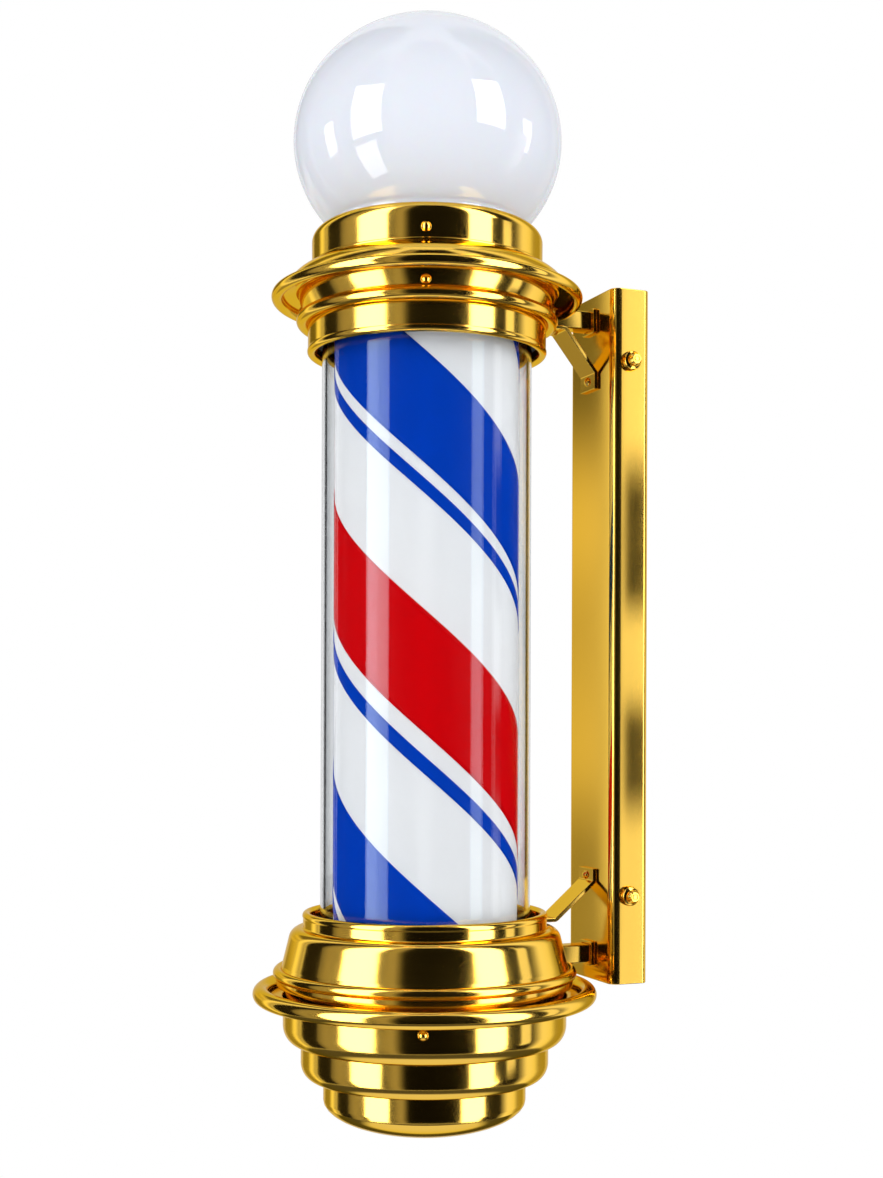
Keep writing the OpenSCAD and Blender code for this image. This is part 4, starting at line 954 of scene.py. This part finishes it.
# %% [markdown]
# Folded and drawn bars all have one section from end to end, so one helper draws them: a row of points along
# the outer side, the matching row along the inner side, and a list of stations. An open section, such as a
# strap or the channel, is closed at its two edges, and a hollow bar closes on itself.

# %% Bars of one section
CORNER_STEP = 9
TIGHTEST_BEND = 0.02 * MM
BAR_SHARP, BAR_EDGE_STEPS = 40, 3


def soft_path(points, thickness=0.0):
    """A path's points with rounded corners. thickness moves the path inwards and tightens its corners."""
    path = []
    for i, p in enumerate(points):
        corner = Vector(p[:2])
        before = Vector(points[i - 1][:2]) if i > 0 else None
        after = Vector(points[i + 1][:2]) if i < len(points) - 1 else None
        sides = [(corner - before).normalized()] if before else []
        sides += [(after - corner).normalized()] if after else []
        inward = sum((Vector((-s.y, s.x)) for s in sides), Vector((0, 0)))
        reach = thickness * 2 / inward.length_squared if len(sides) == 2 else thickness
        corner = corner + inward * reach
        if len(sides) == 1 or len(p) == 2:
            path.append(tuple(corner))
            continue
        bend = sides[0].angle_signed(sides[1])
        radius = max(p[2] - thickness * (1 if bend < 0 else -1), TIGHTEST_BEND)
        steps = max(2, math.ceil(abs(math.degrees(bend)) / CORNER_STEP))
        tangent = radius * math.tan(abs(bend) / 2)
        start = corner - sides[0] * tangent
        side = Vector((-sides[0].y, sides[0].x)) * (1 if bend < 0 else -1)
        mid = start + side * radius
        path += [tuple(mid + Matrix.Rotation(-bend * k / steps, 2) @ (start - mid)) for k in range(steps + 1)]
    return path


def break_edges(piece, width, sharp, steps):
    """Round an object's edges that are sharper than an angle in degrees, and make it a plain mesh."""
    soften = piece.modifiers.new("edges", "BEVEL")
    soften.limit_method = "ANGLE"
    soften.angle_limit = math.radians(sharp)
    soften.width = width
    soften.segments = steps
    soften.harden_normals = True
    return apply_modifiers(piece)


def bar(name, material, outer, inner, stations, spot, edge, closed=False):
    """A bar of one section. spot(u, v, w) gives the place of a section point at a station."""
    bm = bmesh.new()
    rows = [[[bm.verts.new(spot(u, v, w)) for u, v in side] for side in (outer, inner)] for w in stations]
    count = len(outer)
    spans = count if closed else count - 1
    for one, two in zip(rows, rows[1:]):
        for side in (0, 1):
            for i in range(spans):
                a, b = one[side][i], one[side][(i + 1) % count]
                c, d = two[side][(i + 1) % count], two[side][i]
                bm.faces.new((a, b, c, d) if side == 0 else (d, c, b, a))
        if not closed:
            for i in (0, -1):
                bm.faces.new((one[0][i], two[0][i], two[1][i], one[1][i]))
    for row in (rows[0], rows[-1]):
        for i in range(spans):
            bm.faces.new((row[0][i], row[0][(i + 1) % count], row[1][(i + 1) % count], row[1][i]))
    bmesh.ops.recalc_face_normals(bm, faces=bm.faces)
    return break_edges(mesh_object(name, bm, material), edge, BAR_SHARP, BAR_EDGE_STEPS)

# %% [markdown]
# The wall bracket is one folded sheet: a wide front with two tight bends, two sides, and a hem turned in
# along the wall. Its cut ends are well rounded, which gives the bright and dark lines round every face.

# %% Wall bracket
FOLD_SHEET = 2 * MM
FRONT_BEND, REAR_BEND, HEM_W = 6 * MM, 4 * MM, 7 * MM
CHANNEL_EDGE = 0.7 * MM
channel_x = high("bracket_channel", X)
channel_front = low("bracket_channel", Y)
channel_path = ((-channel_x + HEM_W, 0), (-channel_x, 0, REAR_BEND), (-channel_x, channel_front, FRONT_BEND),
    (channel_x, channel_front, FRONT_BEND), (channel_x, 0, REAR_BEND), (channel_x - HEM_W, 0))
bracket = bar("gold_wall_bracket", gold_sheet, soft_path(channel_path), soft_path(channel_path, FOLD_SHEET),
    (low("bracket_channel"), high("bracket_channel")), lambda u, v, w: (u, v, w), CHANNEL_EDGE)
finish_piece(bracket, "bracket_channel")

# %% [markdown]
# The arms are square tube with soft corners. Each passes through a thin square collar on the bracket's front
# and is pinned behind it.

# %% Arms and collars
ARM_CORNER, BORE_CORNER, COLLAR_CORNER = 1.3 * MM, 0.4 * MM, 1.6 * MM
ARM_EDGE, COLLAR_EDGE = 0.3 * MM, 0.5 * MM
ARM_WALL = 1.5 * MM
arm_half, collar_half = high("upper_arm", X), high("arm_collars", X)


def square(half, radius):
    """A square with round corners, as one closed row of points that starts in the middle of a side."""
    corners = ((0, -half), (half, -half, radius), (half, half, radius), (-half, half, radius),
        (-half, -half, radius), (0, -half))
    return soft_path(corners)[:-1]


def square_tube(name, mid_z, outer, inner, edge, node, *stands_for):
    """A square tube along Y, as long as its node. outer and inner are (half width, corner radius) pairs."""
    piece = bar(name, gold, square(*outer), square(*inner), (low(node, Y), high(node, Y)),
        lambda u, v, w: (u, w, mid_z + v), edge, closed=True)
    finish_piece(piece, *stands_for)
    return piece


arms = [square_tube(f"gold_{node}", middle(node), (arm_half, ARM_CORNER),
    (arm_half - ARM_WALL, BORE_CORNER), ARM_EDGE, node, node) for node in ("upper_arm", "lower_arm")]
for number, mid_z in enumerate((high("arm_collars") - collar_half, low("arm_collars") + collar_half)):
    square_tube(f"gold_collar_{number + 1}", mid_z, (collar_half, COLLAR_CORNER),
        (arm_half + SLIP, ARM_CORNER), COLLAR_EDGE, "arm_collars", *([] if number else ["arm_collars"]))

# %% [markdown]
# Now that these pieces are there, the big cards leave some of them out. The tube sees no card but its strips,
# and the globe neither softboxes nor pale screens. The arms and the wall plate are flat mirrors that would
# turn all white in a softbox, so they see it black, and the plate gets an even glow of its own.

# %% Light links
PLATE_GLOW = 0.8
PLATE_TURNS = (20, 130)
plate = frame["nodes"]["wall_plate"]
for softbox in softboxes:
    link_light(softbox, "EXCLUDE", globe, tube, plate, *arms)
for screen in (*screens, bright_slot):
    link_light(screen, "EXCLUDE", tube, *([globe] if "pale" in screen.name else []))
plate_glow = card("plate_glow", PLATE_TURNS, SOFTBOX_TILTS, WHITE, PLATE_GLOW, clear=True)
link_light(plate_glow, "INCLUDE", plate)
print("light links on", len(softboxes) + len(screens) + 2, "cards")

# %% [markdown]
# Two bent straps brace the pole: one from the upper arm down to the bracket, one from the base's shoulder up
# to it. Each has a flat tab at both ends and a soft bend next to it.

# %% Brace straps
STRAP_T = 2.5 * MM
STRAP_TAB, STRAP_BEND, STRAP_EDGE = 10 * MM, 4 * MM, 0.45 * MM
upper_tab, lower_tab = high("upper_brace"), low("lower_brace")
UPPER_FOLD_Z, LOWER_FOLD_Z = CROWN_Z - 1 * MM, lower_tab + 24 * MM


def strap(node, tab_z, fold_z, end_z):
    """A strap from its tab at the pole to its foot on the bracket, drawn in the plane of Y and height."""
    tab_y, foot_y, half = low(node, Y), high(node, Y), high(node, X)
    inside = STRAP_T if end_z > tab_z else -STRAP_T
    path = ((tab_y, tab_z), (tab_y + STRAP_TAB, tab_z, STRAP_BEND), (foot_y, fold_z, STRAP_BEND),
        (foot_y, end_z))
    finish_piece(bar(f"gold_{node}", gold_sheet, soft_path(path), soft_path(path, inside), (-half, half),
        lambda u, v, w: (w, u, v), STRAP_EDGE), node)


strap("upper_brace", upper_tab, UPPER_FOLD_Z, low("upper_brace"))
strap("lower_brace", lower_tab, LOWER_FOLD_Z, high("lower_brace"))

# %% [markdown]
# All small screws are the same button head with a cross recess. One is modelled with care for each length and
# then placed many times. The recess is cut with a Boolean, because a painted cross has no depth when the
# light moves, and a small bevel breaks its edges.

# %% Button screws
SCREW_TURNS = 40
HEAD_R, HEAD_H = 3 * MM, 2.2 * MM
SHANK_R = 1.5 * MM
RECESS_W, RECESS_REACH, RECESS_DEPTH = 0.9 * MM, 1.75 * MM, 1.1 * MM
RECESS_TAPER = 0.7
RECESS_EDGE, RECESS_SHARP = 0.08 * MM, 50
DOME_SHARE = 0.92
ALONG_X = Matrix.Rotation(math.pi / 2, 4, "Y")


def cross_cutter(reach, width, top, depth):
    """Two crossed bars with slightly tapered ends, as a bmesh."""
    bm = bmesh.new()
    for size in ((2 * reach, width), (width, 2 * reach)):
        made = bmesh.ops.create_cube(bm, size=1.0)["verts"]
        bmesh.ops.scale(bm, verts=made, vec=(*size, 2 * depth))
        bmesh.ops.translate(bm, verts=made, vec=(0, 0, top))
        for vert in made:
            if vert.co.z < top:
                vert.co.x *= RECESS_TAPER
                vert.co.y *= RECESS_TAPER
    return bm


def hidden_prototype(name, bm):
    """An object that other pieces copy. It is deleted before the end."""
    piece = mesh_object(name, bm, gold_screw)
    PROTOTYPES.append(piece)
    return piece


def button_screw(name, shank_len):
    """A cross-recessed button screw along +X, with its head's seat at the origin."""
    dome_r = (HEAD_R ** 2 + HEAD_H ** 2) / (2 * HEAD_H)
    dome_turn = math.degrees(math.asin(HEAD_R / dome_r))
    dome = arc(0, HEAD_H - dome_r, dome_r, 90, 90 - DOME_SHARE * dome_turn)
    bm = turned(outline((0, HEAD_H), *dome[1:], (HEAD_R, 0.25 * MM), (HEAD_R, 0, 0.15 * MM), (SHANK_R, 0),
        (SHANK_R, -shank_len, 0.3 * MM), (0, -shank_len), closed=False), False, SCREW_TURNS, Matrix())
    screw = hidden_prototype(name, bm)
    cutter = hidden_prototype(f"{name}_cutter", cross_cutter(RECESS_REACH, RECESS_W, HEAD_H, RECESS_DEPTH))
    cut = screw.modifiers.new("recess", "BOOLEAN")
    cut.object = cutter
    cut.solver = "EXACT"
    break_edges(screw, RECESS_EDGE, RECESS_SHARP, 1)
    screw.data.transform(ALONG_X)
    return screw


PROTOTYPES = []
ring_screw, long_screw, foot_screw, tab_screw = (button_screw(f"{name}_screw", length * MM)
    for name, length in (("ring", 6.2), ("long", 12.6), ("foot", 9.5), ("tab", 7)))
print("screw faces:", len(ring_screw.data.polygons))

# %% [markdown]
# The bracket's side screws are domed, with a small flat face, on stepped cup washers. Both are turned parts,
# so they come from outlines like the shells, laid on their side.

# %% Cup washer and domed screw
DOME_TURNS = 64
CUP_R, CUP_H, CUP_HOLE = 6.3 * MM, 5 * MM, 2.35 * MM
NUT_R, NUT_H = 4.2 * MM, 4 * MM
STUD_R, STUD_LEN = 2.25 * MM, 16 * MM
FACE_R, FACE_DIP = 1.3 * MM, 0.35 * MM
cup_points = outline((NUT_R, CUP_H, 0.3 * MM), *arc(CUP_R - 1.7 * MM, CUP_H - 2.1 * MM, 1.5 * MM, 75, 0),
    (CUP_R - 0.2 * MM, CUP_H / 2 - 0.3 * MM, 0.3 * MM), (CUP_R, CUP_H / 3, 0.6 * MM), (CUP_R, 0, 0.3 * MM),
    (CUP_HOLE, 0, 0.2 * MM), (CUP_HOLE, CUP_H, 0.2 * MM))
cup = hidden_prototype("cup_washer", turned(cup_points, True, DOME_TURNS, ALONG_X))
nut_points = outline((0, NUT_H), (FACE_R, NUT_H, 0.15 * MM), (FACE_R + FACE_DIP, NUT_H - FACE_DIP, 0.2 * MM),
    (FACE_R + 2 * FACE_DIP, NUT_H - FACE_DIP / 3, 0.3 * MM), (0.7 * NUT_R, NUT_H - FACE_DIP / 2, 0.5 * MM),
    (NUT_R, 0.5 * NUT_H, 1 * MM), (NUT_R, 0, 0.3 * MM), (STUD_R, 0), (STUD_R, -STUD_LEN, 0.4 * MM),
    (0, -STUD_LEN), closed=False)
nut = hidden_prototype("dome_screw", turned(nut_points, False, DOME_TURNS, ALONG_X))
print("washer and domed screw:", len(cup.data.polygons), "and", len(nut.data.polygons), "faces")

# %% [markdown]
# The placing tree sets copies of one object on a ring. Each copy is turned by its own number, moved out to
# the ring's radius, and given a small turn about its own axis, because no two screws stop at the same angle.

# %% Screw ring tree
tree = ring_tree = new_group("screw_ring", "GeometryNodeTree",
    [("Part", "NodeSocketObject"), ("Count", WHOLE), ("Radius", F), ("Height", F), ("Start", F),
     ("Twist Seed", WHOLE), PAINT], [SHAPE])
source = put(tree, "NodeGroupInput")
points = put(tree, "GeometryNodeMeshLine", {"Offset": (0, 0, 0), "Count": (source, "Count")})
share = calc(tree, "DIVIDE", (put(tree, "GeometryNodeInputIndex"), 0), (source, "Count"))
turn = calc(tree, "ADD", calc(tree, "MULTIPLY", share, 360.0), (source, "Start"))
heading = calc(tree, "RADIANS", turn)
part = put(tree, "GeometryNodeObjectInfo", {"As Instance": True, "Object": (source, "Part")})
face_out = put(tree, "ShaderNodeCombineXYZ", {"Z": heading})
copies = put(tree, "GeometryNodeInstanceOnPoints", {"Points": (points, "Mesh"),
    "Instance": (part, "Geometry"), "Rotation": (face_out, 0)})
twist = put(tree, "FunctionNodeRandomValue", {"Min": 0.0, "Max": math.pi / 2, "Seed": (source, "Twist Seed")},
    data_type="FLOAT")
twist_turn = put(tree, "ShaderNodeCombineXYZ", {"X": (twist, "Value")})
twisted = put(tree, "GeometryNodeRotateInstances", {"Local Space": True, "Instances": (copies, 0),
    "Rotation": (twist_turn, 0)})
move_out = put(tree, "ShaderNodeCombineXYZ", {"X": (source, "Radius")})
spin_out = put(tree, "ShaderNodeVectorRotate", {"Vector": (move_out, 0), "Angle": heading},
    rotation_type="Z_AXIS")
moved = put(tree, "GeometryNodeTranslateInstances", {"Local Space": False, "Instances": (twisted, 0),
    "Translation": (spin_out, 0)})
realized = put(tree, "GeometryNodeRealizeInstances", {0: (moved, 0)})
lift = put(tree, "ShaderNodeCombineXYZ", {"X": POLE.x, "Y": POLE.y, "Z": (source, "Height")})
to_height = put(tree, "GeometryNodeTransform", {"Geometry": (realized, 0), "Translation": (lift, 0)})
painted = put(tree, "GeometryNodeSetMaterial", {"Geometry": (to_height, 0), "Material": (source, "Material")})
put(tree, "NodeGroupOutput", {0: (painted, 0)})
print("screw ring tree:", len(tree.nodes), "nodes")

# %% [markdown]
# Three rings of screws face the street: four in the crown's neck, three in the globe holder and three in the
# bowl. The heads of each ring sit on the shell that they hold.

# %% Screw rings
SCREW_TURN = math.degrees(CAMERA_TURN)
crown_drop = neck_mid_z - middle("crown_screws")
crown_seat_r = neck_mid_r + math.sqrt(NECK_BARREL_R ** 2 - crown_drop ** 2)
for name, screw, count, radius, seed in (("crown", ring_screw, 4, crown_seat_r, 3),
        ("globe", long_screw, 3, HOLDER_R, 8), ("bowl", ring_screw, 3, BOWL_R, 5)):
    node = f"{name}_screws"
    piece = from_tree(f"{name}_button_screws", ring_tree, gold_screw, part=screw, count=count, radius=radius,
        height=middle(node), start=SCREW_TURN, twist_seed=seed)
    finish_piece(apply_modifiers(piece), node)

# %% [markdown]
# The straps' screws and the bracket's side screws lie in four directions, so they are plain copies of the
# same prototypes, each turned to its own face and joined into one mesh for each node. The side screws are
# small domes that need a glow of their own beside the bracket.

# %% Strap screws and side screws
UPPER_FOOT_SCREW, LOWER_FOOT_SCREW, LOWER_TAB_SCREW = 6 * MM, 4.5 * MM, 3.4 * MM
SCREW_GLOW, SCREW_GLOW_AWAY, SCREW_GLOW_HALF_W = 2.4, 0.1, 0.03


def facing(x, y, z, turn_z=0, turn_y=0, twist=0):
    """A place whose +X looks along a turn about Z, or up or down by turn_y, in degrees."""
    return (Matrix.Translation((x, y, z)) @ Matrix.Rotation(math.radians(turn_z), 4, "Z")
        @ Matrix.Rotation(math.radians(turn_y), 4, "Y") @ Matrix.Rotation(math.radians(twist), 4, "X"))


def screw_copies(name, node, *pairs):
    """One mesh of (prototype, place) pairs. A place is a matrix that takes +X to where the head points."""
    bm = bmesh.new()
    for prototype, place in pairs:
        copy = prototype.data.copy()
        copy.transform(place)
        bm.from_mesh(copy)
        bpy.data.meshes.remove(copy)
    piece = mesh_object(name, bm, gold_screw)
    finish_piece(piece, node)
    return piece


foot_seat_y = high("upper_brace", Y) - STRAP_T
screw_copies("strap_button_screws", "brace_screws",
    (foot_screw, facing(0, foot_seat_y, low("upper_brace") + UPPER_FOOT_SCREW, -90, twist=20)),
    (foot_screw, facing(0, foot_seat_y, high("lower_brace") - LOWER_FOOT_SCREW, -90, twist=50)),
    (tab_screw, facing(0, low("upper_brace", Y) + STRAP_TAB / 2, upper_tab - STRAP_T, 0, 90, 15)),
    (tab_screw, facing(0, low("lower_brace", Y) + LOWER_TAB_SCREW, lower_tab + STRAP_T, 0, -90, 70)))
side_y = middle("side_cup_washers", Y)
side_spots = [(side, z) for z in (high("side_cup_washers") - CUP_R, low("side_cup_washers") + CUP_R)
    for side in (1, -1)]
side_pieces = [screw_copies(name, node, *((prototype, facing(side * out, side_y, z, 90 - 90 * side))
    for side, z in side_spots)) for name, node, prototype, out in (
        ("side_cups", "side_cup_washers", cup, channel_x),
        ("side_dome_screws", "side_screws", nut, channel_x + CUP_H))]
screw_glow = side_panel("screw_glow", SCREW_GLOW_AWAY, -SCREW_GLOW_HALF_W, SCREW_GLOW_HALF_W, WHITE,
    SCREW_GLOW, clear=True)
link_light(screw_glow, "INCLUDE", *side_pieces)
for prototype in PROTOTYPES:
    bpy.data.objects.remove(prototype)

# %% [markdown]
# The works inside keep their CAD shapes, which are already exact, and only get their finishes. They show only
# at the edges of the tube and from behind, yet each has its own: zinc that has gone slightly blotchy, drawn
# aluminium, moulded plastic with a fine texture, dull rubber, and the yellow gel of the light strips.

# %% Finishes of the works
WORKS = (
    ("zinc_plated_steel", (0.60, 0.61, 0.63), dict(metallic=1.0, shade=0.8, roughness=0.24, haze=0.18,
        haze_scale=45, wave=0.1, wave_scale=60, grain=0.25, grain_scale=1800, tone_low=0.3),
        "wall_plate arm_pins brace_nuts top_plate top_posts top_plate_screws arm_tie_screws bulb_cap "
        "lamp_stem stem_nuts motor_plate motor_posts motor_plate_screws gear_motor motor_screws "
        "supply_screws drum_cap_screws drive_hub hub_screws motor_shaft"),
    ("drawn_aluminium", (0.80, 0.80, 0.82), dict(metallic=1.0, shade=0.86, roughness=0.3, haze=0.1,
        haze_scale=60, grain=0.3, grain_scale=1500, tone_low=0.4), "light_carrier"),
    ("black_rubber", (0.022, 0.022, 0.023), dict(shade=0.7, roughness=0.6, haze=0.15, haze_scale=80,
        grain=0.5, grain_scale=2500, tone_low=0.2),
        "cable_grommet globe_gasket tube_seal_top tube_seal_bottom"),
    ("moulded_white_plastic", (0.80, 0.80, 0.77), dict(shade=0.94, roughness=0.34, haze=0.08, haze_scale=50,
        grain=0.35, grain_scale=3000, tone_low=0.3), "lamp_socket power_supply"),
    ("ivory_plastic", (0.74, 0.70, 0.58), dict(shade=0.92, roughness=0.38, haze=0.08, haze_scale=60,
        grain=0.3, grain_scale=2600, tone_low=0.3), "terminal_block drum_bush"),
    ("light_strip_gel", (0.86, 0.80, 0.45), dict(shade=0.94, roughness=0.3, haze=0.05, haze_scale=150,
        grain=0.2, tone_low=0.3, plain={"Coat Weight": 0.4}), "light_strips"),
)
dressed = [(buffed_material(name, colour, **finish), names) for name, colour, finish, names in WORKS]
for material, names in (*dressed, (bulb_opal, "bulb_glass"), (white_drum, "drum_top_cap drum_bottom_cap")):
    for name in names.split():
        carried = frame["nodes"][name]
        carried.data.materials.clear()
        carried.data.materials.append(material)
    print(material.name, "on", len(names.split()), "nodes")
